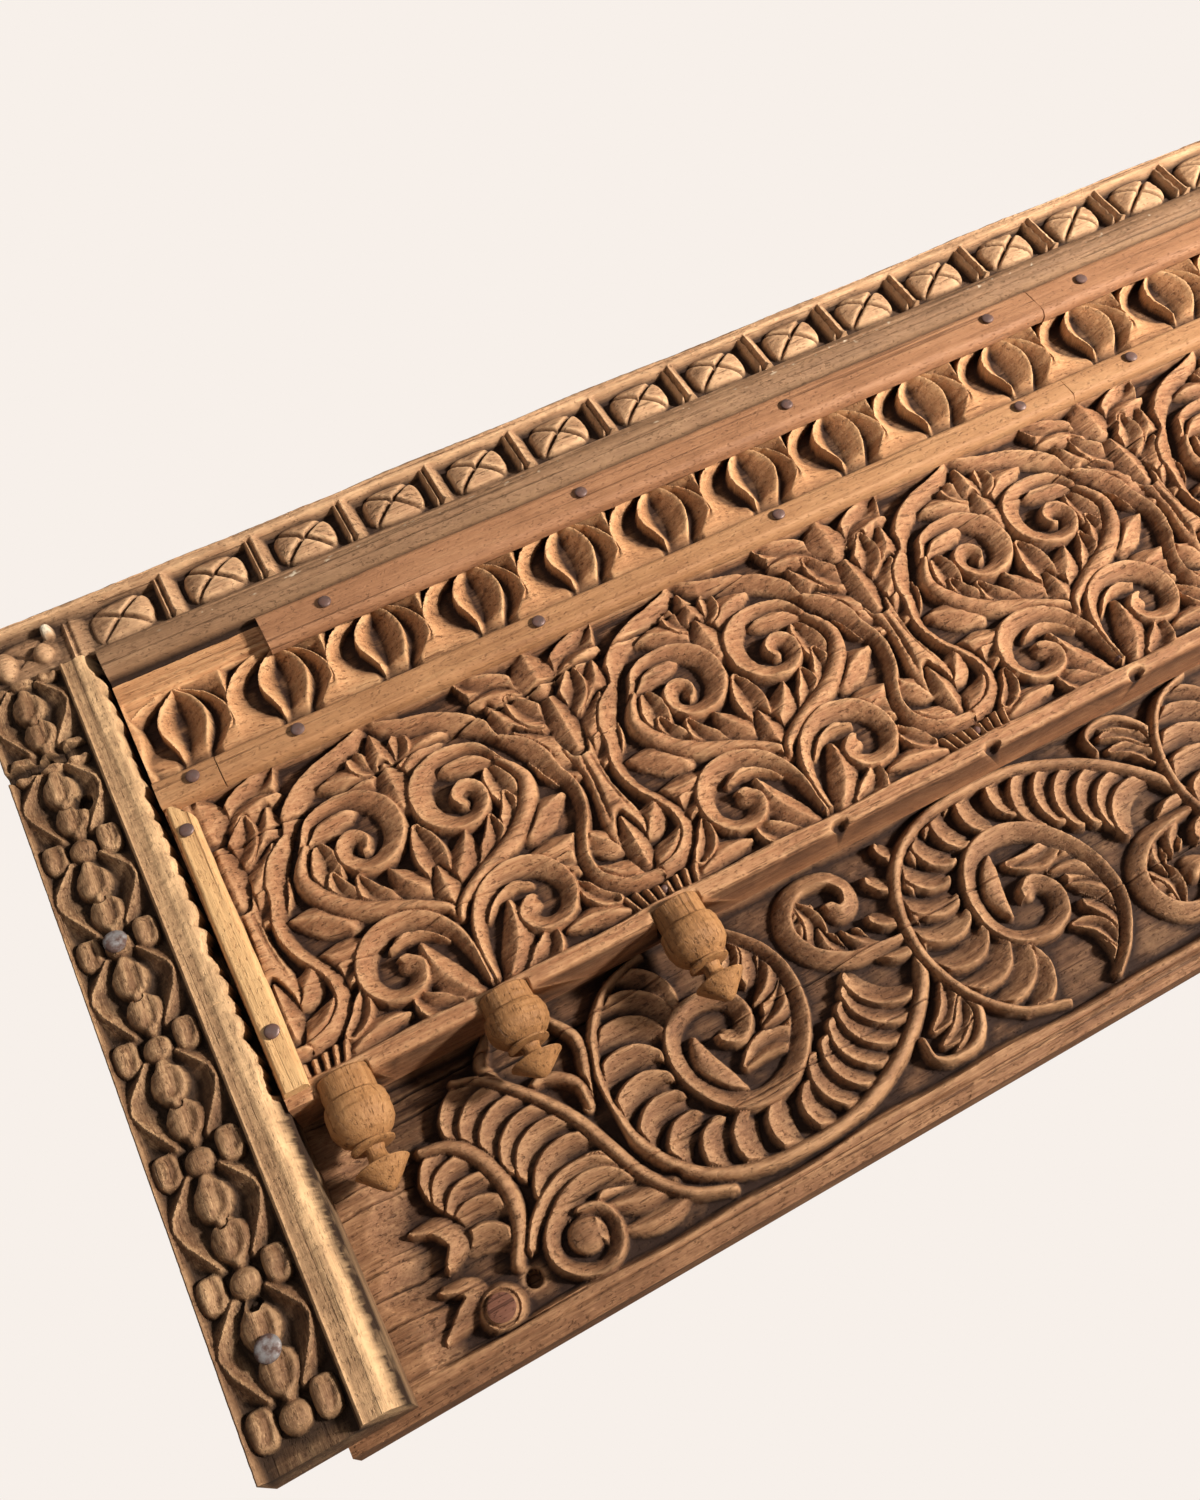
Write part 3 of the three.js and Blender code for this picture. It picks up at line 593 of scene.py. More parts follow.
@dataclass(frozen=True)
class WoodFinish:
    """Old wood: three tones mixed by grain, dirt and painted shade in the hollows, and wear on the crests.

    Attributes:
        name: Material name.
        dark: Tone of the grain's dark streaks.
        mid: Main tone.
        pale: Tone of worn crests and pale streaks.
        grime_and_shade: Tone of the dirt and painted shade in the hollows.
        grain: Direction of the grain.
        dirt_and_shade_strength: Strength of the dirt and painted shade in the hollows.
        wear: Strength of the wear.
        roughness: Mean roughness.
        shift: Offset of the grain pattern, so that pieces differ.
    """

    name: str
    dark: tuple[float, float, float]
    mid: tuple[float, float, float]
    pale: tuple[float, float, float]
    grime_and_shade: tuple[float, float, float]
    grain: Grain = Grain.LENGTHWISE
    dirt_and_shade_strength: float = 1.0
    wear: float = 0.6
    roughness: float = 0.72
    shift: float = 0.0

    def material(self, groups: "SharedEffects") -> bpy.types.Material:
        """Principled material that reads the grain and relief groups.

        Args:
            groups: Shared node groups.

        Returns:
            The new material.
        """
        made = bpy.data.materials.new(self.name)
        made.use_nodes = True
        tree = made.node_tree
        shader = tree.nodes["Principled BSDF"]
        spots = tree.nodes.new("ShaderNodeTexCoord")
        turn = tree.nodes.new("ShaderNodeMapping")
        turn.inputs["Location"].default_value = (self.shift, self.shift * 0.7, self.shift * 1.3)
        if self.grain is Grain.UPRIGHT:
            turn.inputs["Rotation"].default_value = (0.0, np.pi / 2, 0.0)
        tree.links.new(spots.outputs["Object"], turn.inputs["Vector"])
        grain = groups.place(tree, "Old grain")
        tree.links.new(turn.outputs["Vector"], grain.inputs["Vector"])
        relief = groups.place(tree, "Relief wear and shade")
        for name in MASKS:
            mask = tree.nodes.new("ShaderNodeAttribute")
            mask.attribute_name = name
            tree.links.new(mask.outputs["Fac"], relief.inputs[name.capitalize()])
        tree.links.new(turn.outputs["Vector"], relief.inputs["Vector"])
        tree.links.new(grain.outputs["Tone"], relief.inputs["Tone"])
        tones = {"Dark": self.dark, "Mid": self.mid, "Pale": self.pale, "Grime_and_shade": self.grime_and_shade}
        for socket, tone in tones.items():
            relief.inputs[socket].default_value = (*tone, 1.0)
        relief.inputs["Dirt_and_shade_strength"].default_value = self.dirt_and_shade_strength
        relief.inputs["Wear"].default_value = self.wear
        relief.inputs["Roughness"].default_value = self.roughness
        tree.links.new(relief.outputs["Color"], shader.inputs["Base Color"])
        tree.links.new(relief.outputs["Roughness"], shader.inputs["Roughness"])
        bump = tree.nodes.new("ShaderNodeBump")
        bump.inputs["Strength"].default_value = GRAIN_BUMP
        bump.inputs["Distance"].default_value = GRAIN_DEPTH
        tree.links.new(grain.outputs["Height"], bump.inputs["Height"])
        tree.links.new(bump.outputs["Normal"], shader.inputs["Normal"])
        shader.inputs["Specular IOR Level"].default_value = WOOD_SHINE
        return made


@dataclass(frozen=True)
class IronFinish:
    """Old forged iron, mottled with rust.

    Attributes:
        name: Material name.
        metal: Tone of bare metal.
        rust: Tone of the rust.
    """

    name: str
    metal: tuple[float, float, float]
    rust: tuple[float, float, float]

    def material(self, groups: "SharedEffects") -> bpy.types.Material:
        """Principled material with rust patches that are rougher and less metallic than the iron."""
        made = bpy.data.materials.new(self.name)
        made.use_nodes = True
        tree = made.node_tree
        shader = tree.nodes["Principled BSDF"]
        spots = tree.nodes.new("ShaderNodeTexCoord")
        patches = groups.place(tree, "Patches")
        tree.links.new(spots.outputs["Object"], patches.inputs["Vector"])
        mix = tree.nodes.new("ShaderNodeMix")
        mix.data_type = "RGBA"
        mix.inputs[6].default_value = (*self.metal, 1.0)
        mix.inputs[7].default_value = (*self.rust, 1.0)
        tree.links.new(patches.outputs["Mask"], mix.inputs[0])
        tree.links.new(mix.outputs[2], shader.inputs["Base Color"])
        rough = tree.nodes.new("ShaderNodeMapRange")
        rough.inputs["To Min"].default_value = IRON_ROUGHNESS
        rough.inputs["To Max"].default_value = RUST_ROUGHNESS
        tree.links.new(patches.outputs["Mask"], rough.inputs["Value"])
        tree.links.new(rough.outputs["Result"], shader.inputs["Roughness"])
        bare = tree.nodes.new("ShaderNodeMapRange")
        bare.inputs["To Min"].default_value = IRON_METALLIC
        bare.inputs["To Max"].default_value = RUST_METALLIC
        tree.links.new(patches.outputs["Mask"], bare.inputs["Value"])
        tree.links.new(bare.outputs["Result"], shader.inputs["Metallic"])
        bump = tree.nodes.new("ShaderNodeBump")
        bump.inputs["Strength"].default_value = RUST_BUMP
        bump.inputs["Distance"].default_value = RUST_DEPTH
        tree.links.new(patches.outputs["Height"], bump.inputs["Height"])
        tree.links.new(bump.outputs["Normal"], shader.inputs["Normal"])
        return made


class SharedEffects:
    """Shader node groups that several finishes use."""

    def __init__(self) -> None:
        """Builds the grain, relief wear and shade, and patches groups once."""
        self.groups = {
            "Old grain": self.old_grain(),
            "Relief wear and shade": self.relief_wear_and_shade(),
            "Patches": self.patches(),
        }

    def place(self, tree: bpy.types.NodeTree, name: str) -> bpy.types.Node:
        """A group node in a material's tree."""
        node = tree.nodes.new("ShaderNodeGroup")
        node.node_tree = self.groups[name]
        return node

    @staticmethod
    def blank(name: str, inputs: dict[str, str], outputs: dict[str, str]) -> tuple:
        """Empty group with named sockets.

        Args:
            name: Group name.
            inputs: Socket names with their kinds.
            outputs: Socket names with their kinds.

        Returns:
            The tree, its input node and its output node.
        """
        tree = bpy.data.node_groups.new(name, "ShaderNodeTree")
        for way, sockets in (("INPUT", inputs), ("OUTPUT", outputs)):
            for socket, kind in sockets.items():
                tree.interface.new_socket(socket, in_out=way, socket_type="NodeSocket" + kind)
        return tree, tree.nodes.new("NodeGroupInput"), tree.nodes.new("NodeGroupOutput")

    @staticmethod
    def noise(tree: bpy.types.NodeTree, source: bpy.types.NodeSocket, scale: tuple[float, float, float],
              detail: float, rough: float = 0.55) -> bpy.types.NodeSocket:
        """Noise stretched by a scale along each axis, as a value from 0 to 1."""
        stretch = tree.nodes.new("ShaderNodeMapping")
        stretch.inputs["Scale"].default_value = scale
        tree.links.new(source, stretch.inputs["Vector"])
        speckle = tree.nodes.new("ShaderNodeTexNoise")
        speckle.inputs["Scale"].default_value = 1.0
        speckle.inputs["Detail"].default_value = detail
        speckle.inputs["Roughness"].default_value = rough
        tree.links.new(stretch.outputs["Vector"], speckle.inputs["Vector"])
        return speckle.outputs["Fac"]

    @staticmethod
    def math(tree: bpy.types.NodeTree, operation: str, first: object,
             second: object) -> bpy.types.NodeSocket:
        """Result of a clamped math node on two sockets or numbers."""
        node = tree.nodes.new("ShaderNodeMath")
        node.operation = operation
        node.use_clamp = True
        for slot, value in enumerate((first, second)):
            if isinstance(value, (int, float)):
                node.inputs[slot].default_value = value
            else:
                tree.links.new(value, node.inputs[slot])
        return node.outputs[0]

    def total(self, tree: bpy.types.NodeTree, terms: tuple) -> bpy.types.NodeSocket:
        """Sum of values, each times its weight.

        Args:
            tree: Tree that the nodes join.
            terms: Pairs of a socket and its weight.

        Returns:
            The sum's socket.
        """
        out = self.math(tree, "MULTIPLY", *terms[0])
        for socket, weight in terms[1:]:
            out = self.math(tree, "ADD", out, self.math(tree, "MULTIPLY", socket, weight))
        return out

    @staticmethod
    def ramp(tree: bpy.types.NodeTree, source: bpy.types.NodeSocket, low: float,
             high: float) -> bpy.types.NodeSocket:
        """Value spread from a low and a high mark to 0 and 1."""
        node = tree.nodes.new("ShaderNodeMapRange")
        node.inputs["From Min"].default_value = low
        node.inputs["From Max"].default_value = high
        tree.links.new(source, node.inputs["Value"])
        return node.outputs["Result"]

    @staticmethod
    def mix(tree: bpy.types.NodeTree, share: object, first: object, second: object) -> bpy.types.NodeSocket:
        """Colour mixed from two sockets by a share."""
        node = tree.nodes.new("ShaderNodeMix")
        node.data_type = "RGBA"
        tree.links.new(share, node.inputs[0])
        tree.links.new(first, node.inputs[6])
        tree.links.new(second, node.inputs[7])
        return node.outputs[2]

    def old_grain(self) -> bpy.types.NodeTree:
        """Grain along X: broad bands, streaks, fibres and dark pores; Tone and Height run from 0 to 1."""
        results = {"Tone": "Float", "Height": "Float"}
        tree, given, out = self.blank("Old grain", {"Vector": "Vector"}, results)
        source = given.outputs["Vector"]
        bands = self.noise(tree, source, (3.0, 42.0, 42.0), 4.0)
        streaks = self.noise(tree, source, (9.0, 300.0, 300.0), 6.0, 0.7)
        fibres = self.noise(tree, source, (70.0, 1500.0, 1500.0), 3.0, 0.7)
        blotch = self.noise(tree, source, (26.0, 34.0, 34.0), 6.0, 0.68)
        knife = self.noise(tree, source, (150.0, 190.0, 190.0), 3.0, 0.6)
        pits = self.ramp(tree, self.noise(tree, source, (330.0, 800.0, 800.0), 3.0, 0.6), 0.58, 0.72)
        checks = self.ramp(tree, self.noise(tree, source, (3.0, 380.0, 380.0), 4.0, 0.6), 0.61, 0.67)
        tone = self.total(tree, ((bands, 0.22), (streaks, 0.3), (blotch, 0.26), (fibres, 0.22)))
        flaws = self.total(tree, ((checks, 0.5), (pits, 0.34)))
        rise = self.total(tree, ((streaks, 0.3), (fibres, 0.28), (knife, 0.42)))
        marks = self.total(tree, ((checks, 0.5), (pits, 0.35)))
        tone = self.math(tree, "SUBTRACT", self.ramp(tree, tone, 0.38, 0.62), flaws)
        tree.links.new(tone, out.inputs["Tone"])
        tree.links.new(self.math(tree, "SUBTRACT", rise, marks), out.inputs["Height"])
        return tree

    def relief_wear_and_shade(self) -> bpy.types.NodeTree:
        """Wood tones by grain, darkened in the cavities by dirt and painted shade, and paled by wear on the
        crests.
        """
        colours = {"Dark": "Color", "Mid": "Color", "Pale": "Color", "Grime_and_shade": "Color"}
        values = {"Tone": "Float", "Dirt_and_shade": "Float", "Crest": "Float", "Bare": "Float", "Chalk": "Float",
                  "Dirt_and_shade_strength": "Float", "Wear": "Float", "Roughness": "Float"}
        tree, given, out = self.blank("Relief wear and shade", {"Vector": "Vector", **colours, **values},
                                      {"Color": "Color", "Roughness": "Float"})
        sockets = given.outputs
        low = self.mix(tree, self.ramp(tree, sockets["Tone"], 0.0, 0.5), sockets["Dark"], sockets["Mid"])
        light = self.math(tree, "MULTIPLY", self.ramp(tree, sockets["Tone"], 0.5, 1.0), 0.6)
        wood = self.mix(tree, light, low, sockets["Pale"])
        patch = self.noise(tree, sockets["Vector"], (45.0, 60.0, 60.0), 4.0)
        worn = self.math(tree, "MULTIPLY", self.math(tree, "MULTIPLY", sockets["Crest"], sockets["Wear"]),
                         self.ramp(tree, patch, 0.25, 0.65))
        wood = self.mix(tree, worn, wood, sockets["Pale"])
        rubbed = self.math(tree, "MULTIPLY", sockets["Bare"], self.ramp(tree, sockets["Tone"], -0.5, 0.6))
        wood = self.mix(tree, rubbed, wood, sockets["Pale"])
        # Painted shade, partly dirt: the cavity mask darkens the hollows toward the grime tone.
        dirt_and_shade_share = self.math(tree, "MULTIPLY", self.math(tree, "MULTIPLY", sockets["Dirt_and_shade"], sockets["Dirt_and_shade_strength"]),
                          self.math(tree, "ADD", self.ramp(tree, patch, 0.1, 0.7), 0.45))
        colour = self.mix(tree, dirt_and_shade_share, wood, sockets["Grime_and_shade"])
        white = tree.nodes.new("ShaderNodeRGB")
        white.outputs[0].default_value = (*CHALK_TONE, 1.0)
        colour = self.mix(tree, sockets["Chalk"], colour, white.outputs[0])
        duller = self.math(tree, "MULTIPLY", dirt_and_shade_share, 0.15)
        smoother = self.math(tree, "MULTIPLY", worn, 0.12)
        rough = self.math(tree, "ADD", duller, self.math(tree, "SUBTRACT", sockets["Roughness"], smoother))
        tree.links.new(colour, out.inputs["Color"])
        tree.links.new(rough, out.inputs["Roughness"])
        return tree

    def patches(self) -> bpy.types.NodeTree:
        """Rust patches: Mask and Height from two scales of noise."""
        tree, given, out = self.blank("Patches", {"Vector": "Vector"}, {"Mask": "Float", "Height": "Float"})
        source = given.outputs["Vector"]
        broad = self.noise(tree, source, (260.0, 260.0, 260.0), 4.0)
        fine = self.noise(tree, source, (900.0, 900.0, 900.0), 4.0)
        tree.links.new(self.ramp(tree, broad, 0.38, 0.6), out.inputs["Mask"])
        bands = self.math(tree, "MULTIPLY", broad, 0.6)
        fibres = self.math(tree, "MULTIPLY", fine, 0.4)
        tree.links.new(self.math(tree, "ADD", bands, fibres), out.inputs["Height"])
        return tree


UPPER_LOBE = Stroke(
    ((59, 278), (50, 284), (38, 286.5), (28, 288), (21, 291)),
    (2.5, 6.4, 7.8, 5.8, 0.8), Section.RIDGED)
UPPER_RING = Stroke(
    ((57, 280), (48, 291), (34, 294.5), (21, 291.5), (12, 283), (9.5, 271.5), (12.5, 261.5), (20.5, 254.5),
     (31, 253.5), (38, 259.5), (38.5, 267.5), (33.5, 271.5), (28.5, 268.5), (29.5, 264)),
    (1.2, 2.8, 3.2, 3.8, 4.8, 5.6, 6.0, 6.0, 5.4, 4.8, 4.4, 4.2, 4.0, 3.2), Section.LEANING)
UPPER_STEM = Stroke(
    ((0, 203), (5, 211), (22, 220.5), (44, 231), (58, 244), (65, 259), (62.5, 270), (57, 278)),
    (1.6, 3.4, 4.4, 4.8, 5.0, 4.8, 3.8, 1.6))
LOWER_LOBE = Stroke(((11, 195), (19, 204), (29, 207), (40, 203)), (1.4, 4.4, 5.0, 1.4), Section.RIDGED, -1)
LOWER_RING = Stroke(
    ((2.5, 165), (3.5, 182), (7.5, 197), (17, 209), (31, 214.5), (45, 212), (54, 202.5), (56, 191),
     (50.5, 181.5), (42, 178.5), (34.5, 181), (31.5, 187.5), (35.5, 192)),
    (1.6, 2.2, 2.8, 3.6, 4.4, 5.0, 5.2, 5.0, 4.6, 4.2, 4.2, 4.8, 4.6), Section.LEANING, -1)
SCROLL_STROKES = (UPPER_LOBE, UPPER_RING, UPPER_STEM, LOWER_LOBE, LOWER_RING)
FRAME_TOP = Stroke(
    ((0, 334), (8, 327.5), (20, 322), (34, 317.5), (48, 309.5), (58, 299), (64.5, 288)),
    (2.0, 4.2, 5.0, 5.2, 4.8, 2.6), Section.LEANING, -1)
FRAME_SIDE = Stroke(
    ((64, 288), (72, 279), (78, 268), (80.5, 257), (84.5, 246), (85, 236), (81.5, 224), (75, 213),
     (70.5, 201), (72, 188), (80.5, 178.5), (91, 174.5), (100, 173.5)),
    (2.4, 5.0, 5.0, 3.6, 3.2, 3.0, 3.0, 3.2, 3.2, 3.4, 3.4, 3.4), Section.LEANING, -1)
TRUNK = Stroke(((0, 207), (0, 222), (0, 240), (0, 252), (0, 264)), (10.5, 9.6, 7.4, 5.8, 5.6, 6.4, 8.0))
FLUTE = ((7.0, 213), (5.0, 224), (3.0, 240), (2.6, 258))

BAY_BACK_LEAVES = (
    Leaf((52, 227), (78, 242), 8.6, Section.RIDGED, 0.08),
    Leaf((49, 214), (75, 217), 8.0, Section.RIDGED, -0.08),
    Leaf((58, 205), (70, 196), 5.4, Section.VALLEY, 0.1),
    Leaf((9, 298), (37, 309), 8.4, Section.RIDGED, 0.1),
    Leaf((6, 304), (14, 321), 5.4, Section.VALLEY, -0.1),
    Leaf((54, 250), (50, 277), 6.8, Section.VALLEY, 0.06),
    Leaf((38, 231), (50, 257), 5.6, Section.VALLEY, -0.16),
    Leaf((23, 225), (37, 248), 5.4, Section.VALLEY, -0.16),
    Leaf((7, 224), (22, 246), 7.6, Section.RIDGED, -0.06),
    Leaf((76, 164), (44, 169), 6.4, Section.RIDGED, -0.08),
    Leaf((74, 172), (61, 190), 4.6, Section.VALLEY, 0.1),
    Leaf((9, 162), (24, 198), 7.8, Section.RIDGED, -0.1),
    Leaf((21, 160), (37, 176), 6.2, Section.VALLEY, -0.16),
)
BAY_AXIS_LEAVES = (
    Leaf((0, 230), (0, 261), 7.4, Section.VALLEY, 0.0),
    Leaf((0, 204), (0, 235), 7.6, Section.RIDGED, 0.0),
    Leaf((0, 301), (0, 327), 6.4, Section.RIDGED, 0.0),
    Leaf((0, 277), (0, 305), 9.4, Section.RIDGED, 0.0),
)
TREE_LEAVES = (
    Leaf((12, 315), (42, 333), 8.6, Section.VALLEY, -0.06),
    Leaf((14, 309), (41, 317), 7.0, Section.RIDGED, 0.08),
    Leaf((14, 283), (33, 311), 7.4, Section.RIDGED, -0.12),
    Leaf((5, 286), (20, 311), 7.0, Section.VALLEY, -0.1),
    Leaf((3, 264), (27, 289), 8.4, Section.RIDGED, -0.1),
    Leaf((2, 251), (25, 268), 7.6, Section.VALLEY, -0.1),
    Leaf((4, 199), (22, 217), 7.6, Section.RIDGED, -0.1),
    Leaf((3, 181), (25, 194), 8.0, Section.RIDGED, -0.14),
)
TREE_AXIS_LEAVES = (
    Leaf((0, 263), (0, 306), 7.8, Section.RIDGED, 0.0),
    Leaf((0, 308), (0, 336), 11.0, Section.RIDGED, 0.0),
    Leaf((0, 183), (0, 214), 6.6, Section.RIDGED, 0.0),
)


@dataclass
class ScrollBoard:
    """Main board: pairs of scrolls under cusped frames, with flowering trees between them.

    Attributes:
        pitch: Grid step of the relief.
        top: Full height of the carving.
        groove: Width of the groove about each stroke.
        split: Start and end of the long split, as lengths, with its height at the start.
        foot_round: Radius of the foot's front edge.
        strip_top: Upper edge of the plain foot.
        head_edge: Lower edge of the plain head.
        end_margin: Width of the plain ends.
        recess: Half-width and depth of the recess about a pendant's head.
        socket_half: Half-width and half-height of an empty socket.
        socket_level: Height of a socket's middle.
        socket_depth: Depth of a socket.
    """

    pitch: float = 0.66
    top: float = 9.0
    groove: float = 1.9
    split: tuple[float, float, float] = (12.0, 365.0, 296.0)
    foot_round: float = 5.0
    strip_top: float = 159.4
    head_edge: float = 331.0
    end_margin: float = 15.5
    recess: tuple[float, float] = (12.9, 20.6)
    socket_half: tuple[float, float] = (5.2, 2.6)
    socket_level: float = 152.4
    socket_depth: float = 7.0

    def build(self, material: bpy.types.Material) -> bpy.types.Object:
        """Carves and dresses the board."""
        relief = self.carve()
        board = CarvedBoard("scroll_board", "carved_wood", relief, self.top, BOARD_BACK, BOARD_TRIANGLES)
        return board.build(material)

    def carve(self) -> Relief:
        """Bays, trees and margins on one field, then tool marks and the long split."""
        relief = Relief((0.0, BOARD_LENGTH), (SCROLL_FOOT, SCROLL_TOP), self.pitch, 11, self.top)
        for axis in GROUP_AXES:
            self.bay(relief, axis)
        for axis in TREE_AXES:
            self.tree(relief, axis)
        self.margins(relief)
        relief.steady()
        relief.tool_marks(0.75)
        relief.crack(self.split[0], self.split[1], self.split[2], 1.2, 5.5, 0.066)
        relief.crack(20.0, 170.0, 205.0, 0.7, 1.6, 0.03)
        relief.crack(430.0, 700.0, 288.0, 0.8, 2.4, 0.02)
        return relief

    def bay(self, relief: Relief, axis: float) -> None:
        """One bay: upper and lower scrolls on both sides of an axis, palmettes and the cusped frame.

        Args:
            relief: Field to carve.
            axis: Middle of the bay.
        """
        for side in (-1, 1):
            drift = relief.rng.uniform(-1.0, 1.0, 2)
            spot = Setting(axis + drift[0], drift[1], side)
            for leaf in BAY_BACK_LEAVES:
                relief.leaf(spot, leaf)
        for leaf in BAY_AXIS_LEAVES:
            relief.leaf(Setting(axis), leaf)
        for side in (-1, 1):
            drift = relief.rng.uniform(-1.0, 1.0, 2)
            spot = Setting(axis + drift[0], drift[1], side)
            for stroke in SCROLL_STROKES:
                relief.stroke(spot, stroke, self.groove)
            relief.stroke(Setting(axis, 0.0, side), FRAME_TOP, self.groove)

    def tree(self, relief: Relief, axis: float) -> None:
        """A tree with a bell trunk in a round vase, flowering up to a bud, with a fan of reeds below.

        Args:
            relief: Field to carve.
            axis: Middle of the tree.
        """
        for side in (-1, 1):
            spot = Setting(axis, 0.0, side)
            for leaf in TREE_LEAVES:
                relief.leaf(spot, leaf)
            for reed in range(4):
                foot = 4.9 * reed + 2.4
                relief.sweep(spot.at([(foot, 160), (foot * 1.2, 170)]), 1.3, self.top * 0.9)
        relief.stroke(Setting(axis), TRUNK, self.groove)
        for leaf in TREE_AXIS_LEAVES:
            relief.leaf(Setting(axis), leaf)
        for side in (-1, 1):
            relief.cut(Setting(axis + 1.0, 0.0, side).at(FLUTE), 1.4, 3.2)
            relief.stroke(Setting(axis - HALF_BAY * side, 0.0, side), FRAME_SIDE, self.groove)

    def margins(self, relief: Relief) -> None:
        """Plain margins: the rounded foot with its recesses and empty sockets, the head and the ends."""
        z = relief.z[:, None]
        x = relief.x[None, :]
        wander = 0.6 * np.sin(x / 31.0) + 0.5 * np.sin(x / 11.0 + 1.0)
        below = np.clip((SCROLL_FOOT + self.foot_round - z) / self.foot_round, 0.0, 1.0)
        foot = self.top - self.foot_round * (1.0 - np.sqrt(1.0 - below**2))
        wall = self.top - 2.4 * (z - self.strip_top - wander)
        foot = np.where(z < self.strip_top + wander, foot, wall)
        head = np.clip((z - self.head_edge) * 3.0, 0.0, self.top)
        ends = np.clip((self.end_margin - np.minimum(x, BOARD_LENGTH - x)) * 3.0, 0.0, self.top)
        for strip in (np.where(z < 164.0, foot, 0.0), head, ends):
            relief.height = np.maximum(relief.height, strip)
        relief.height = np.minimum(relief.height, self.top + 0.6)
        for node in PENDANT_NODES:
            low, high = to_layout(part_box(node))
            axis = (low[0] + high[0]) / 2
            recess = (np.abs(x - axis) < self.recess[0]) & (z < high[2] + 0.2)
            relief.height = np.where(recess, relief.height - self.recess[1], relief.height)
        for axis in HANGING_AXES[len(PENDANT_NODES):]:
            hole = ((x - axis) / self.socket_half[0]) ** 2
            hole = hole + ((z - self.socket_level) / self.socket_half[1]) ** 2
            relief.height = relief.height - self.socket_depth * np.clip(1.25 - hole, 0.0, 1.0)


VINE_RIM = ((-24, 65), (-48, 57), (-66, 38.5), (-75, 14.5), (-75, -6.5), (-69, -27), (-54, -47), (-30, -59),
            (0, -63), (29, -61.5))
VINE_WAVE = ((0, -63), (29, -61.5), (53, -54), (77, -41), (97, -23), (110, -3), (117, 15), (128, 34),
             (146, 50), (172, 60))
VINE_STEM = Stroke(VINE_RIM + VINE_WAVE[2:], (1.6, 2.6, 3.0, 3.0, 3.2, 3.4, 3.4, 3.0, 2.0))
VINE_RING = Stroke(
    ((8, 64), (23, 52), (36, 34), (39, 15), (33, -6), (17, -25), (-3.5, -31), (-21, -24), (-32, -6.5),
     (-32.5, 11.5), (-24, 23), (-9.5, 27), (4, 21.5), (7.5, 10.5), (1, 2), (-5, 5)),
    (1.8, 2.6, 3.2, 3.8, 4.6, 5.0, 4.8, 4.2, 4.0, 4.2, 4.4, 4.2), Section.LEANING, -1)
VINE_CURL = Stroke(
    ((111, 5), (92, 6), (73, 9), (57, 20), (51, 36), (57.5, 51), (71, 58), (87, 56), (94.5, 46), (92, 36),
     (84, 32.5), (80, 37)),
    (1.8, 3.2, 4.2, 4.8, 4.8, 4.6, 4.2, 4.2), Section.LEANING)
VINE_LOOP = Stroke(
    ((110, -20), (116, -34), (116.5, -47), (107, -59), (93, -62), (82, -57), (82, -46)),
    (1.4, 2.4, 2.8, 2.4, 1.6))
RIM_FEATHERS = Feathers(11, (28, 42, 41, 35, 30, 27, 26, 25), 6.4, (150, 52), (0.1, 0.98))
WAVE_FEATHERS = (
    Feathers(6, (30, 40, 44, 42, 36), 5.8, (152, 48), (0.2, 0.52)),
    Feathers(4, (24, 24, 20), 4.8, (150, 74), (0.63, 0.85)),
)
RING_FEATHERS = Feathers(6, (26, 26, 24, 22), 4.6, (-16, -84), (0.03, 0.3))
CURL_FEATHERS = Feathers(5, (16, 18, 18, 16), 4.0, (-20, -90), (0.12, 0.5))
RING_LEAVES = (
    Leaf((-13, -23), (-21, 11), 6.0, Section.CROWNED, 0.12, 0.95),
    Leaf((27, -14), (-4, -14), 5.6, Section.VALLEY, -0.16, 0.92),
    Leaf((36, 34), (17, 12), 4.4, Section.RIDGED, 0.14, 0.9),
    Leaf((38, 16), (14, 0), 4.6, Section.RIDGED, 0.16, 0.9),
    Leaf((20, 50), (6, 32), 4.0, Section.VALLEY, 0.2, 0.9),
)
CURL_LEAVES = (
    Leaf((60, 22), (64, 50), 5.0, Section.VALLEY, -0.2, 0.9),
    Leaf((76, 10), (68, 32), 4.6, Section.RIDGED, 0.2, 0.9),
    Leaf((92, 10), (78, 25), 4.2, Section.RIDGED, 0.16, 0.9),
    Leaf((109, -27), (90, -44), 4.0, Section.VALLEY, 0.16, 0.9),
    Leaf((113, -38), (91, -53), 4.0, Section.VALLEY, 0.16, 0.9),
    Leaf((111, -51), (94, -59), 3.6, Section.VALLEY, 0.12, 0.9),
)
FROND = Stroke(
    ((75, 136), (89, 130), (107, 112), (121.5, 91.5), (130.5, 70.5), (139.5, 49.5), (154.5, 32), (175, 23)),
    (1.6, 3.0, 3.2, 3.0, 2.2))
CRESCENT = Stroke(
    ((46, 112), (60, 108), (71, 96), (77, 76.5), (75, 58.5), (66, 42)),
    (2.0, 3.6, 4.0, 3.6, 2.4))
FROND_FEATHERS = Feathers(8, (32, 38, 42, 42, 38, 28), 6.0, (-160, -50), (0.12, 0.74))
CRESCENT_FEATHERS = Feathers(5, (22, 30, 30, 24), 6.2, (-146, -50), (0.2, 0.95))
TORN_HALVES = (2.0, 5.0, 5.4, 2.0)
TORN_LEAVES = (
    Stroke(((28, 79), (40, 76), (46, 65), (38, 56)), TORN_HALVES, Section.LEANING, 1, 0.94),
    Stroke(((30, 48), (40, 45), (43, 37), (24, 26)), TORN_HALVES, Section.LEANING, 1, 0.94),
)
END_ARCH = Stroke(
    ((132, 59), (120, 66.5), (106, 67), (92, 61), (82, 53), (76, 45)),
    (1.8, 3.2, 3.6, 3.4, 3.0, 1.8), Section.LEANING)
END_CURL = Stroke(
    ((133, 51), (120, 58.5), (106, 58), (94, 52), (86, 44), (85, 34), (92, 25.5), (103, 22), (112, 27),
     (115.5, 37), (112, 46), (104, 48.5)),
    (2.0, 4.4, 5.2, 4.6, 3.6, 3.2, 3.2, 3.4, 3.6, 3.4, 3.0, 2.4), Section.LEANING)
LOOP_HALVES = (1.6, 3.0, 3.2, 2.0)
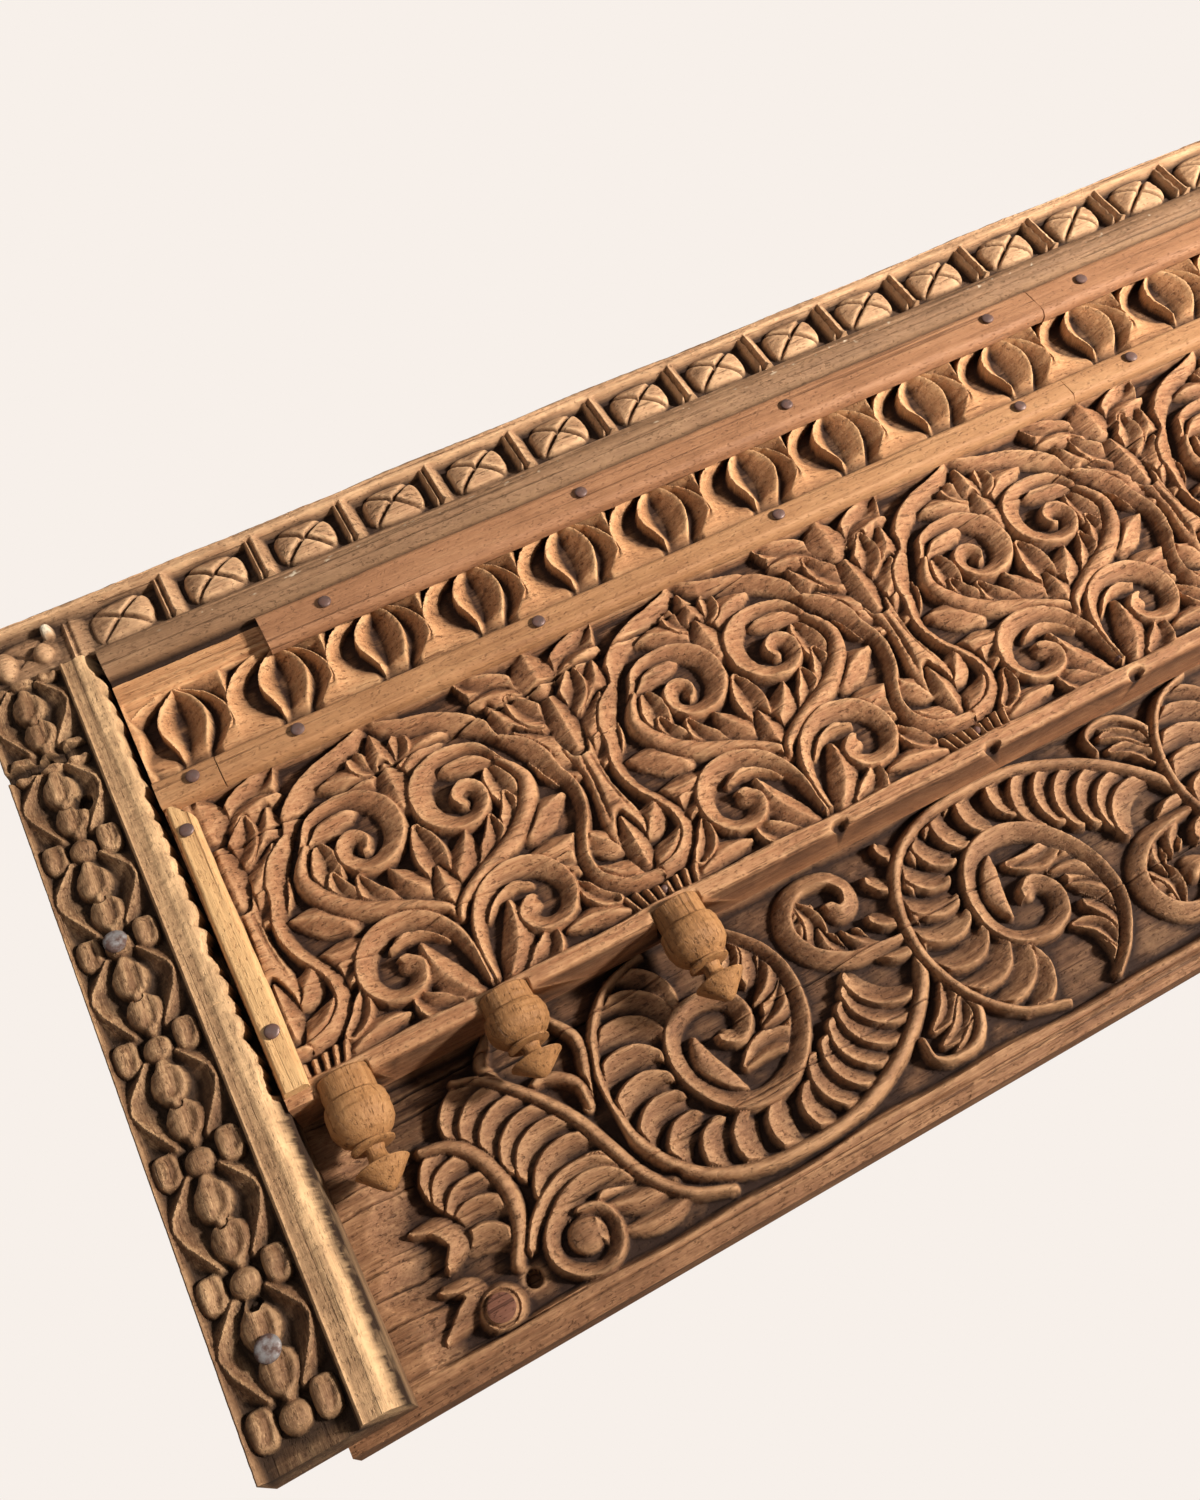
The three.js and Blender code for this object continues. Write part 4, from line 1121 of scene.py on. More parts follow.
END_LOOPS = (
    Stroke(((100, 150), (92, 137), (97, 122)), LOOP_HALVES, share=0.95),
    Stroke(((128, 150), (141, 128), (138, 110), (131, 92)), LOOP_HALVES, share=0.95),
    Stroke(((106, 113), (118, 116), (131, 106), (132, 93)), LOOP_HALVES, share=0.95),
)
END_LEAVES = (
    Leaf((150, 40), (116, 46), 6.4, Section.RIDGED, 0.08, 0.85),
    Leaf((152, 30), (117, 31), 5.4, Section.RIDGED, 0.08, 0.8),
)
LOBE_STEPS = 16
LOBE_WIDTHS = (0.3, 0.62, 0.88, 1.0, 1.05, 0.86)
LOBE_TOPS = (0.9, 1.0, 1.0, 0.96, 0.88)
LOWER_CRACKS = (
    (-10, 60, 118), (20, 210, 131), (60, 330, 52), (-20, 70, 74), (180, 420, 96), (420, 640, 60),
    (-30, 60, 148), (0, 75, 33), (500, 790, 112), (-30, 40, 100), (-30, 45, 58), (10, 90, 20),
    (-30, 36, 66), (-20, 52, 42), (-30, 48, 109), (10, 130, 140),
)


@dataclass
class LowerBoard:
    """Set-back board with a running vine, each scroll turned over against the one before.

    Attributes:
        pitch: Grid step of the relief.
        top: Full height of the carving.
        groove: Width of the groove about each stroke.
        middle: Height that the scrolls turn over about.
        first: Length of the first scroll's middle.
        spacing: Length from one scroll to the next.
        scrolls: Number of scrolls.
        strip_top: Upper edge of the plain foot.
        head_edge: Lower edge of the plain head.
        pad_radius: Radius of the pad that holds the peg.
        joint: Radius, half-width and depth of the open joint about the peg.
        hole: Length, height and radius of the empty hole.
        hole_depth: Depth of the hole.
        hole_floor: Wood left behind the hole.
    """

    pitch: float = 0.68
    top: float = 9.0
    groove: float = 1.9
    middle: float = 86.0
    first: float = 216.0
    spacing: float = 184.5
    scrolls: int = 4
    strip_top: float = 19.5
    head_edge: float = 150.0
    pad_radius: float = 13.0
    joint: tuple[float, float, float] = (8.3, 1.1, 3.0)
    hole: tuple[float, float, float] = (70.1, 33.6, 4.3)
    hole_depth: float = 16.0
    hole_floor: float = 1.5

    def build(self, material: bpy.types.Material) -> bpy.types.Object:
        """Carves and dresses the board."""
        ground = LOWER_FACE + self.top
        board = CarvedBoard("lower_board", "carved_wood", self.carve(), ground, PANEL_BACK, BOARD_TRIANGLES)
        return board.build(material)

    def carve(self) -> Relief:
        """Scrolls, the worn left end and margins on one field, then tool marks and drying cracks."""
        span = (-LOWER_TAIL, BOARD_LENGTH + LOWER_TAIL)
        relief = Relief(span, (LOWER_FOOT, LOWER_TOP), self.pitch, 23, self.top)
        for index in range(self.scrolls):
            self.scroll(relief, index)
        self.worn_end(relief)
        self.margins(relief)
        relief.steady()
        relief.tool_marks(0.55)
        for x0, x1, z in LOWER_CRACKS:
            level = z + relief.rng.uniform(-3.0, 3.0)
            relief.crack(x0, x1, level, 0.8, relief.rng.uniform(1.2, 3.2), 0.012)
        for level in (12.0, 17.0):
            relief.crack(-30.0, BOARD_LENGTH + 30.0, level, 0.9, 1.3)
        return relief

    def feathers(self, relief: Relief, spine: np.ndarray, row: Feathers, over: int = 1) -> None:
        """Row of curved lobes that spring from a spine.

        A lobe's heading turns evenly from its first to its last angle off the spine's run, so that its
        middle line is an arc; it starts narrow and ends blunt, with its trailing edge high.

        Args:
            relief: Field to carve.
            spine: Path that the lobes spring from.
            row: Sizes of the lobes; its angles are in degrees, positive to the spine's left.
            over: -1 turns the angles over.
        """
        line = resample(spine, 0.8)
        run = np.gradient(line, axis=0)
        turns = np.radians(np.linspace(row.turns[0] * over, row.turns[1] * over, LOBE_STEPS))
        halves = [row.half * share for share in LOBE_WIDTHS]
        tops = [self.top * share for share in LOBE_TOPS]
        flip = -int(np.sign(row.turns[0] * over))
        for share in np.linspace(*row.span, row.count):
            spot = int(share * (len(line) - 1))
            length = float(np.interp(share, np.linspace(0, 1, len(row.lengths)), row.lengths))
            reach = length * relief.rng.uniform(0.94, 1.06)
            heading = np.arctan2(run[spot, 1], run[spot, 0]) + turns
            steps = np.stack([np.cos(heading), np.sin(heading)], 1) * reach / LOBE_STEPS
            lobe = line[spot] + np.vstack([[0.0, 0.0], np.cumsum(steps, axis=0)])
            relief.sweep(lobe, halves, tops, Section.SCOOPED, flip, groove=self.groove)

    def scroll(self, relief: Relief, index: int) -> None:
        """One scroll: an outer rim, the curled ring, feathers between them, and the wave to the next.

        Args:
            relief: Field to carve.
            index: Which scroll, from the left.
        """
        over = 1 if index % 2 == 0 else -1
        spot = Setting(self.first + self.spacing * index, self.middle, 1, over)
        self.feathers(relief, spot.at(curve(VINE_RIM)), RIM_FEATHERS, over)
        for row in WAVE_FEATHERS:
            self.feathers(relief, spot.at(curve(VINE_WAVE)), row, over)
        self.feathers(relief, spot.at(curve(VINE_RING.path)), RING_FEATHERS, over)
        self.feathers(relief, spot.at(curve(VINE_CURL.path)), CURL_FEATHERS, over)
        for leaf in CURL_LEAVES:
            relief.leaf(spot, leaf)
        for stroke in (VINE_LOOP, VINE_CURL):
            relief.stroke(spot, stroke, self.groove)
        for leaf in RING_LEAVES:
            relief.leaf(spot, leaf)
        for stroke in (VINE_RING, VINE_STEM):
            relief.stroke(spot, stroke, self.groove)

    def worn_end(self, relief: Relief) -> None:
        """Left end of the vine: a broken crescent, a feathered frond, torn leaves and a small scroll."""
        clear = (relief.x[None, :] < 140.0) & (relief.z[:, None] < 150.0)
        relief.height = np.where(clear, 0.0, relief.height)
        spot = Setting(0.0)
        self.feathers(relief, curve(FROND.path), FROND_FEATHERS)
        for leaf in END_LEAVES:
            relief.leaf(spot, leaf)
        for stroke in (END_ARCH, END_CURL):
            relief.stroke(spot, stroke, self.groove)
        relief.dome(101.5, 38.5, 19.5, 19.0, self.top * 0.95, 0.3)
        self.feathers(relief, curve(CRESCENT.path), CRESCENT_FEATHERS)
        for stroke in (*TORN_LEAVES, CRESCENT, *END_LOOPS, FROND):
            relief.stroke(spot, stroke, self.groove)

    def margins(self, relief: Relief) -> None:
        """Plain strips along the foot and head, plain ends under the stiles, the peg's pad and a hole."""
        z = relief.z[:, None]
        x = relief.x[None, :]
        wander = 1.2 * np.sin(x / 37.0) + 0.8 * np.sin(x / 13.0 + 1.0)
        foot = np.clip((self.strip_top + wander - z) * 2.2, 0.0, self.top)
        head = np.clip((z - self.head_edge + wander) * 1.6, 0.0, self.top)
        torn = 30.0 + 5.0 * np.sin(z / 13.0) + 3.0 * np.sin(z / 5.0)
        left = np.clip((torn - x) * 0.4, 0.0, self.top * 0.94)
        right = np.clip((x - BOARD_LENGTH + 6.0) * 2.0, 0.0, self.top)
        low, high = to_layout(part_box("wood_peg"))
        away = np.hypot(x - (low[0] + high[0]) / 2, z - (low[2] + high[2]) / 2)
        pad = np.clip((self.pad_radius + 0.5 * wander - away) * 2.2, 0.0, self.top)
        for strip in (foot, head, left, right, pad):
            relief.height = np.maximum(relief.height, strip)
        relief.height = np.minimum(relief.height, self.top)
        joint = np.clip(1.0 - np.abs(away - self.joint[0]) / self.joint[1], 0.0, 1.0)
        relief.height = relief.height - self.joint[2] * joint
        hole = np.hypot(x - self.hole[0], z - self.hole[1])
        sunk = relief.height - self.hole_depth * np.clip((self.hole[2] - hole) * 1.4, 0.0, 1.0)
        relief.height = np.maximum(sunk, self.top + LOWER_FACE - PANEL_BACK + self.hole_floor)


BUD_LEVELS = (357.0, 363.0, 368.0, 374.0, 382.0, 388.0, 394.0, 400.0, 405.0, 408.0)
BUD_STOPS = (
    (-37.0, -37.0, -36.6, -36.0, -36.0, -35.5, -32.5, -28.0, -20.0, -11.0),
    (-15.0, -14.0, -14.5, -18.0, -22.5, -23.0, -21.0, -16.0, -9.0, -4.0),
    (-12.4, -11.0, -11.5, -13.5, -16.6, -17.1, -15.2, -11.2, -4.8, -0.9),
    (-11.6, -9.6, -10.2, -12.4, -15.6, -16.1, -14.2, -10.2, -4.0, -0.4),
    (-7.0, -7.0, -5.8, -4.8, -4.0, -3.5, -3.0, -2.0, -0.8, 0.0),
    (2.0, 4.0, 6.4, 9.4, 11.8, 12.2, 11.0, 8.4, 4.0, 0.8),
    (5.0, 5.6, 8.0, 11.2, 13.8, 14.2, 13.0, 10.4, 5.8, 2.0),
    (12.5, 13.5, 18.5, 24.0, 24.8, 23.0, 20.0, 15.5, 8.4, 3.0),
    (13.5, 14.5, 19.5, 25.0, 26.4, 25.2, 22.4, 18.0, 10.8, 5.2),
    (14.5, 15.5, 20.5, 25.2, 26.5, 26.6, 27.0, 27.6, 28.0, 28.2),
    (15.5, 16.5, 21.5, 25.4, 26.6, 27.4, 29.4, 31.4, 33.0, 34.0),
)
BUD_OWN = (1, 2, 3, 4, 5, 6)
BUD_RISES = (
    (0.60, 0.66, 0.78, 0.88, 0.92, 0.92, 0.92, 0.92, 0.96, 0.96),
    (0.44, 0.42, 0.30, 0.12, 0.04, 0.04, 0.05, 0.10, 0.30, 0.60),
    (0.14, 0.14, 0.12, 0.04, 0.02, 0.02, 0.03, 0.06, 0.25, 0.60),
    (0.14, 0.32, 0.82, 0.95, 1.00, 1.00, 1.00, 1.00, 1.00, 0.98),
    (0.14, 0.18, 0.24, 0.14, 0.06, 0.06, 0.08, 0.16, 0.50, 0.80),
    (0.14, 0.32, 0.78, 0.93, 0.98, 0.98, 0.98, 0.98, 0.98, 0.97),
    (0.14, 0.14, 0.10, 0.05, 0.04, 0.04, 0.06, 0.12, 0.40, 0.80),
    (0.60, 0.64, 0.72, 0.84, 0.92, 0.92, 0.92, 0.92, 0.95, 0.95),
    (0.61, 0.65, 0.73, 0.72, 0.60, 0.46, 0.36, 0.30, 0.34, 0.60),
    (0.62, 0.66, 0.74, 0.73, 0.62, 0.80, 0.92, 0.95, 0.96, 0.96),
    (0.62, 0.67, 0.75, 0.74, 0.66, 0.50, 0.36, 0.34, 0.34, 0.36),
)


@dataclass
class LeafBand:
    """Board with a row of split lotus buds in scooped arches.

    Attributes:
        pitch: Grid step of the relief.
        top: Full height of the carving.
        first: Length of the first bud's tip.
        spacing: Length from the first bud to the second.
        growth: What each next spacing adds.
        buds: Number of buds.
        model: Spacing that the bud's table is drawn for.
    """

    pitch: float = 0.6
    top: float = 11.0
    first: float = 29.6
    spacing: float = 60.5
    growth: float = 0.66
    buds: int = 13
    model: float = 61.0

    def build(self, material: bpy.types.Material) -> bpy.types.Object:
        """Carves and dresses the board."""
        relief = self.carve()
        board = CarvedBoard("leaf_band_board", "carved_wood", relief, self.top, BOARD_BACK, BAND_TRIANGLES)
        return board.build(material)

    def carve(self) -> Relief:
        """Buds and margins on one field, then tool marks and a split at the bare left end."""
        relief = Relief((0.0, BOARD_LENGTH), (LEAF_FOOT, LEAF_TOP), self.pitch, 37, self.top)
        relief.height += 0.8 * self.top
        for k in range(self.buds):
            axis = self.first + self.spacing * k + self.growth / 2 * k * k
            self.unit(relief, axis, (self.spacing + self.growth * k) / self.model)
        self.margins(relief)
        relief.steady()
        relief.tool_marks(0.34)
        relief.crack(0.0, 90.0, 417.0, 0.9, 2.6, -0.02)
        return relief

    def unit(self, relief: Relief, axis: float, stretch: float) -> None:
        """One lotus, cut in planes: a scoop, a bud of two planes that fall to its middle, and an arch.

        In each row the height is a broken line between stops that move with the row: the scoop falls to
        the bud's left edge, the bud's planes fall to its middle line, and the arch rises behind it to a
        crest; a narrow dart stands between it and the next lotus.

        Args:
            relief: Field to carve.
            axis: Length of the bud's tip.
            stretch: Share that widens the unit.
        """
        reach = self.model * stretch
        found = relief.window(np.array([axis - 0.62 * reach, BUD_LEVELS[0] - 1.5]),
                              np.array([axis + 0.84 * reach, BUD_LEVELS[-1] + 0.5]))
        z = relief.z[found[0]]
        rise = np.sin(np.pi * np.clip((z - 365.0) / 42.0, 0.0, 1.0))[:, None]
        sway = relief.rng.uniform(-1.3, 1.3) * rise
        away = (relief.x[found[1]][None, :] - axis) / stretch
        stops = [np.interp(z, BUD_LEVELS, stop)[:, None] for stop in BUD_STOPS]
        rises = [1.0 - 1.25 * (1.0 - np.interp(z, BUD_LEVELS, rise)[:, None]) for rise in BUD_RISES]
        for bud_stop in BUD_OWN:
            stops[bud_stop] = stops[bud_stop] + sway
        stops.append(stops[0] + self.model)
        rises.append(rises[0])
        line = rises[0] + np.zeros_like(away)
        for here, there, low, high in zip(stops[:-1], stops[1:], rises[:-1], rises[1:]):
            line = line + (high - low) * np.clip((away - here) / np.maximum(there - here, 0.3), 0.0, 1.0)
        inside = (away >= stops[0]) & (away < stops[-1])
        relief.height[found] = np.where(inside, self.top * line, relief.height[found])

    def margins(self, relief: Relief) -> None:
        """Plain strips under the battens and at the left end."""
        z = relief.z[:, None]
        x = relief.x[None, :]
        wander = 0.5 * np.sin(x / 17.0) + 0.4 * np.sin(x / 7.0)
        lower = np.clip((356.0 + wander - z) * 2.5, 0.0, self.top)
        upper = np.clip((z - 406.5 + wander) * 2.5, 0.0, self.top)
        left = np.clip((6.5 + 1.5 * np.sin(z / 6.0) - x) * 2.5, 0.0, self.top)
        right = np.clip((x - BOARD_LENGTH + 4.0) * 2.5, 0.0, self.top)
        for strip in (lower, upper, left, right):
            relief.height = np.maximum(relief.height, strip)
        flat = (z < 352.0) | ((z > 401.0) & (x > UPPER_BATTEN_START))
        relief.height = np.minimum(relief.height, np.where(flat, self.top - 0.5, self.top))


MOULDING_CRACKS = ((10, 320, 445), (90, 420, 436), (380, 760, 443), (500, 820, 434), (200, 600, 447))
RAIL_CRACKS = ((-60, 180, 485), (240, 460, 484), (500, 880, 486))


@dataclass
class TopRail:
    """Top rail: a plain fillet, a band of crossed blocks between double bars and a half-round moulding.

    Attributes:
        pitch: Grid step of the relief.
        first_bar: Length of the first double bar.
        spacing: Length from one double bar to the next.
        top: Full height of the carving.
        ground: Height of the band's sunk ground.
    """

    pitch: float = 0.72
    first_bar: float = -7.0
    spacing: float = 57.6
    top: float = 12.0
    ground: float = 2.0

    def build(self, material: bpy.types.Material, darker: bpy.types.Material) -> list[bpy.types.Object]:
        """Carves the band and the moulding, which run to different ends, each in its own finish.

        Args:
            material: Finish of the band.
            darker: Finish of the moulding.

        Returns:
            The dressed band and moulding.
        """
        band = CarvedBoard("top_rail", "rail_wood", self.carve(), 0.0, PANEL_BACK, BAND_TRIANGLES)
        strip = CarvedBoard("top_rail", "rail_wood", self.moulding(), 0.0, PANEL_BACK, MOULDING_TRIANGLES)
        upper = band.build(material)
        lower = strip.build(darker)
        upper.name = "top_rail_band"
        lower.name = "top_rail_moulding"
        return [upper, lower]

    def carve(self) -> Relief:
        """Band of blocks and bars under the fillet, with tool marks and cracks."""
        span = (-STILE_WIDTH, BOARD_LENGTH + STILE_WIDTH)
        band = Relief(span, (RAIL_FOOT, RAIL_TOP), self.pitch, 41, self.top)
        for index in range(-1, 16):
            self.unit(band, self.first_bar + self.spacing * index)
        self.fillet(band)
        band.steady()
        band.tool_marks(0.52)
        for x0, x1, z in RAIL_CRACKS:
            band.crack(x0, x1, z, 0.8, 1.8)
        return band

    def moulding(self) -> Relief:
        """Half-round moulding with streaks along the grain, cut back under the batten."""
        span = (GAP, BOARD_LENGTH - GAP)
        strip = Relief(span, (MOULDING_FOOT, MOULDING_TOP), self.pitch, 43, self.top)
        z = strip.z[:, None]
        bulge = self.top * np.sqrt(np.clip(1.0 - ((z - 440.0) / 11.8) ** 2, 0.0, 1.0))
        strip.height += np.maximum(bulge, np.where(z > 446.0, 3.0, -0.4))
        strip.tool_marks(0.34)
        for x0, x1, level in MOULDING_CRACKS:
            strip.crack(x0, x1, level, 0.8, 1.4)
        strip.chalk = self.splinters(strip)
        covered = (z < 428.4) & (strip.x[None, :] > UPPER_BATTEN_START)
        strip.height = np.where(covered, np.minimum(strip.height, -GAP), strip.height)
        return strip

    @staticmethod
    def splinters(relief: Relief) -> np.ndarray:
        """Mask of small pale splinters, scattered along the moulding's crest."""
        shape = relief.height.shape
        scatter = mottle(shape, (3, 4), relief.rng) + 0.5 * mottle(shape, (2, 2), relief.rng)
        near_crest = np.exp(-(((relief.z[:, None] - 441.0) / 4.5) ** 2))
        return np.clip((scatter * near_crest - 0.8) * 3.0, 0.0, 0.75)

    def unit(self, relief: Relief, bar: float) -> None:
        """A double bar and the crossed block to its right.

        The block's height is a rounded cushion, cut by two diagonals: it grows with the difference of
        the two shares of its half-sizes, so that four lobes rise between the grooves.

        Args:
            relief: Field to carve.
            bar: Middle of the double bar.
        """
        relief.sweep(np.array([(bar - 4.4, 453.0), (bar - 4.4, 479.0)]), 1.9, self.top, Section.RIDGED)
        relief.sweep(np.array([(bar + 3.2, 453.0), (bar + 3.2, 479.0)]), 3.8, self.top, Section.LEANING, -1)
        middle = np.array([bar + self.spacing / 2 - 0.4, 465.6])
        size = np.array([19.0, 14.2])
        found = relief.window(middle - size, middle + size)
        if found is None:
            return
        drift = relief.rng.uniform(-0.9, 0.9, 3)
        u = (relief.x[found[1]][None, :] - middle[0] + drift[0]) / size[0]
        v = (relief.z[found[0]][:, None] - middle[1] + 0.6 * drift[1]) / size[1]
        v = v + 0.06 * drift[2] * u
        wide, tall = np.abs(u), np.abs(v)
        cushion = np.clip(1.0 - (wide**2.8 + tall**2.8), 0.0, 1.0) ** 0.34
        lobes = np.clip(np.abs(wide - tall) * 6.5, 0.0, 1.0)
        tilt = 1.0 - 0.2 * np.maximum(wide, tall)
        raised = self.ground + (self.top - self.ground) * cushion * tilt * (0.32 + 0.68 * lobes)
        relief.height[found] = np.maximum(relief.height[found], np.where(cushion > 0.02, raised, 0.0))

    def fillet(self, relief: Relief) -> None:
        """Sunk ground of the band, and the plain fillet along its head with a worn round edge."""
        z = relief.z[:, None]
        x = relief.x[None, :]
        wander = 0.7 * np.sin(x / 61.0) + 0.5 * np.sin(x / 23.0 + 2.0)
        head = self.top - 3.4 * np.clip((z - 485.2 + wander) / 3.8, 0.0, 1.0) ** 2
        step = np.clip(self.top - (481.0 - z) * 3.0, self.ground, self.top)
        plain = np.where(z > 481.0 + 0.4 * wander, head, step)
        relief.height = np.maximum(relief.height, np.where(z > 477.0, plain, self.ground))
        relief.height = np.maximum(relief.height, np.clip(6.0 - (z - 450.0) * 3.0, 0.0, 6.0))
        relief.height = np.minimum(relief.height, self.top)
        worn = np.clip((x + 20.0) / 55.0, 0.3, 1.0)
        lowered = self.ground + (relief.height - self.ground) * worn
        relief.height = np.where(z < 482.0, lowered, relief.height)
        for spot_x, spot_z, across, tall in ((-49.0, 464.0, 15.0, 22.0), (-27.0, 463.0, 13.0, 15.0)):
            relief.dome(spot_x, spot_z, across, tall, self.top * 0.92, 0.34, 1.8)
        relief.dome(-21.0, 476.0, 7.0, 8.6, self.top, 0.3, 3.0)
        lump = ((x + 21.0) / 3.6) ** 2 + ((z - 476.0) / 4.4) ** 2
        ragged = 1.1 + 0.5 * mottle(relief.height.shape, (2, 2), relief.rng)
        relief.chalk = np.clip((ragged - lump) * 2.5, 0.0, 1.0)


STILE_HOLES = ((-37.0, 360.0, 6.0, 6.0), (-45.0, 76.0, 4.0, 9.0), (-48.0, 392.0, 5.0, 6.0))


@dataclass
class Stile:
    """Upright with a sunk band that holds a chain of beads and ovals, a plain fillet and a bevel.

    Attributes:
        node: CAD node that it replaces.
        side: 1 for the left stile, -1 for its mirror on the right.
        seed: Start of the random draws.
        pitch: Grid step of the relief.
        top: Full height of the carving over the band's ground.
        axis: Length of the chain.
        first_bead: Height of the lowest bead.
        spacing: Height from one bead to the next.
    """

    node: str
    side: int
    seed: int
    pitch: float = 0.64
    top: float = 9.4
    axis: float = -45.0
    first_bead: float = 25.0
    spacing: float = 61.0

    def build(self, material: bpy.types.Material) -> bpy.types.Object:
        """Carves the stile in the left one's place, turns it over for the right one and dresses it."""
        relief = self.carve()
        if self.side < 0:
            relief.x = (BOARD_LENGTH - relief.x)[::-1]
            relief.height = relief.height[:, ::-1]
            relief.bare = relief.bare[:, ::-1]
        board = CarvedBoard(self.node, "rail_wood", relief, STILE_GROUND, BOARD_BACK, STILE_TRIANGLES)
        return board.build(material)

    def carve(self) -> Relief:
        """Chain and edges on one field, with tool marks and the breaks."""
        relief = Relief((-STILE_WIDTH, -GAP), (STILE_FOOT, STILE_TOP), self.pitch, self.seed, self.top)
        for k in range(8):
            self.link(relief, self.first_bead + self.spacing * k)
        self.edges(relief)
        relief.steady()
        relief.tool_marks(0.5)
        self.breaks(relief)
        return relief

    def link(self, relief: Relief, bead: float) -> None:
        """One bead with square leaf blocks beside it, then two hollowed ovals between sloping ridges.

        Args:
            relief: Field to carve.
            bead: Height of the bead.
        """
        drift = relief.rng.uniform(-0.8, 0.8, 6)
        for side in (-1, 1):
            spot = Setting(self.axis, bead, side)
            ridge = [(8, 11), (18.0, 27), (21.0, 35 + drift[0]), (19.5, 41), (8, 56)]
            relief.sweep(spot.at(resample(np.array(ridge, float), 1.0)), [4.0, 8.0, 9.0, 8.0, 4.0],
                         self.top * 0.9, Section.SLOPING, 1, 1.5)
            block = spot.at([(15.0 + drift[1], 2.0)])[0]
            relief.dome(block[0], block[1], 13.0, 19.0, self.top * 0.92, 0.3, 2.8)
            left = block[0]
            valley = [(left + 1.0, bead + 11.0), (left + 3.0, bead + 3.0), (left + 0.5, bead - 6.0)]
            relief.cut(curve(valley), 3.6, 3.8)
        for share, lean in ((0.335, 0.6), (0.665, -0.6)):
            level = bead + self.spacing * share + drift[3]
            relief.sweep(Setting(self.axis + lean, level).at([(0.0, -10.6), (0.0, 10.6)]),
                         [2.4, 6.6, 8.2, 8.4, 6.8, 3.0], self.top, Section.CROWNED, groove=1.6)
            valley = [(1.5, 9.5), (3.0, 4.0), (2.4, -3.0), (-0.5, -9.0)]
            relief.cut(Setting(self.axis + lean, level).at(curve(valley)), 3.8, 3.6)
        relief.dome(self.axis, bead + drift[4] * 0.5, 15.5, 15.0, self.top, 0.36)

    def edges(self, relief: Relief) -> None:
        """Rim on the outer edge, the crest line, the brown strip, the pale fillet and its chipped bevel."""
        x = relief.x[None, :]
        z = relief.z[:, None]
        outer = np.clip((-64.6 - x) * 2.2, 0.0, 8.0) - 1.8 * np.clip((-66.6 - x) / 2.4, 0.0, 1.0) ** 2
        worn = 0.5 * np.sin(z / 41.0) + 0.4 * np.sin(z / 17.0)
        rough = mottle((relief.z.size, 1), (9, 1), relief.rng)
        crest = 1.1 * np.clip(1.0 - np.abs(x + 20.4) / 1.2, 0.0, 1.0)
        step = 0.9 * np.clip((x + 13.2 - 0.8 * worn) / 1.4, 0.0, 1.0)
        fillet = np.where(x > -21.8, 7.9 + 0.3 * worn + crest + step, 3.5)
        bevel = 9.0 - (x + 8.0) * 12.0 / 7.0
        chipped = np.clip((z - 160.0) / 6.0, 0.0, 1.0) * np.clip((440.0 - z) / 6.0, 0.0, 1.0)
        bite = np.abs(np.sin(np.pi * (z / 15.4 + 0.7 * worn))) ** 0.8 * 2.6 + 1.7 * rough
        edge = np.where(chipped > 0.0, -5.8 + bite, 0.0)
        flat = 9.0 - 0.35 * (x + 8.0)
        bevel = np.where(x > edge, bevel - chipped * 14.0, chipped * flat + (1.0 - chipped) * bevel)
        chain = np.maximum(relief.height, outer)
        relief.height = np.where(x < -23.4, chain, np.where(x < -8.0, fillet, bevel))
        relief.height = np.minimum(relief.height, self.top + 0.2)
        pale = 0.4 * (x > -21.8) + 0.6 * np.clip((x + 13.6 - 0.8 * worn) / 1.6, 0.0, 1.0)
        patchy = 0.8 + 0.3 * mottle(relief.height.shape, (14, 5), relief.rng)
        relief.bare = np.clip(pale * patchy, 0.0, 1.0)

    def breaks(self, relief: Relief) -> None:
        """Step across the band, the hollows and the empty nail hole, on the left stile only."""
        if self.side < 0:
            return
        x = relief.x[None, :]
        z = relief.z[:, None]
        step = (x < -24.0) & (z > 388.0) & (z < 396.0 + 0.05 * (x + 45.0))
        relief.height = np.where(step, relief.height * 0.2 - 1.0, relief.height)
        for hole_x, hole_z, radius, depth in STILE_HOLES:
            away = np.hypot(x - hole_x, z - hole_z)
            relief.height = relief.height - depth * np.clip((radius - away) / 1.5, 0.0, 1.0)


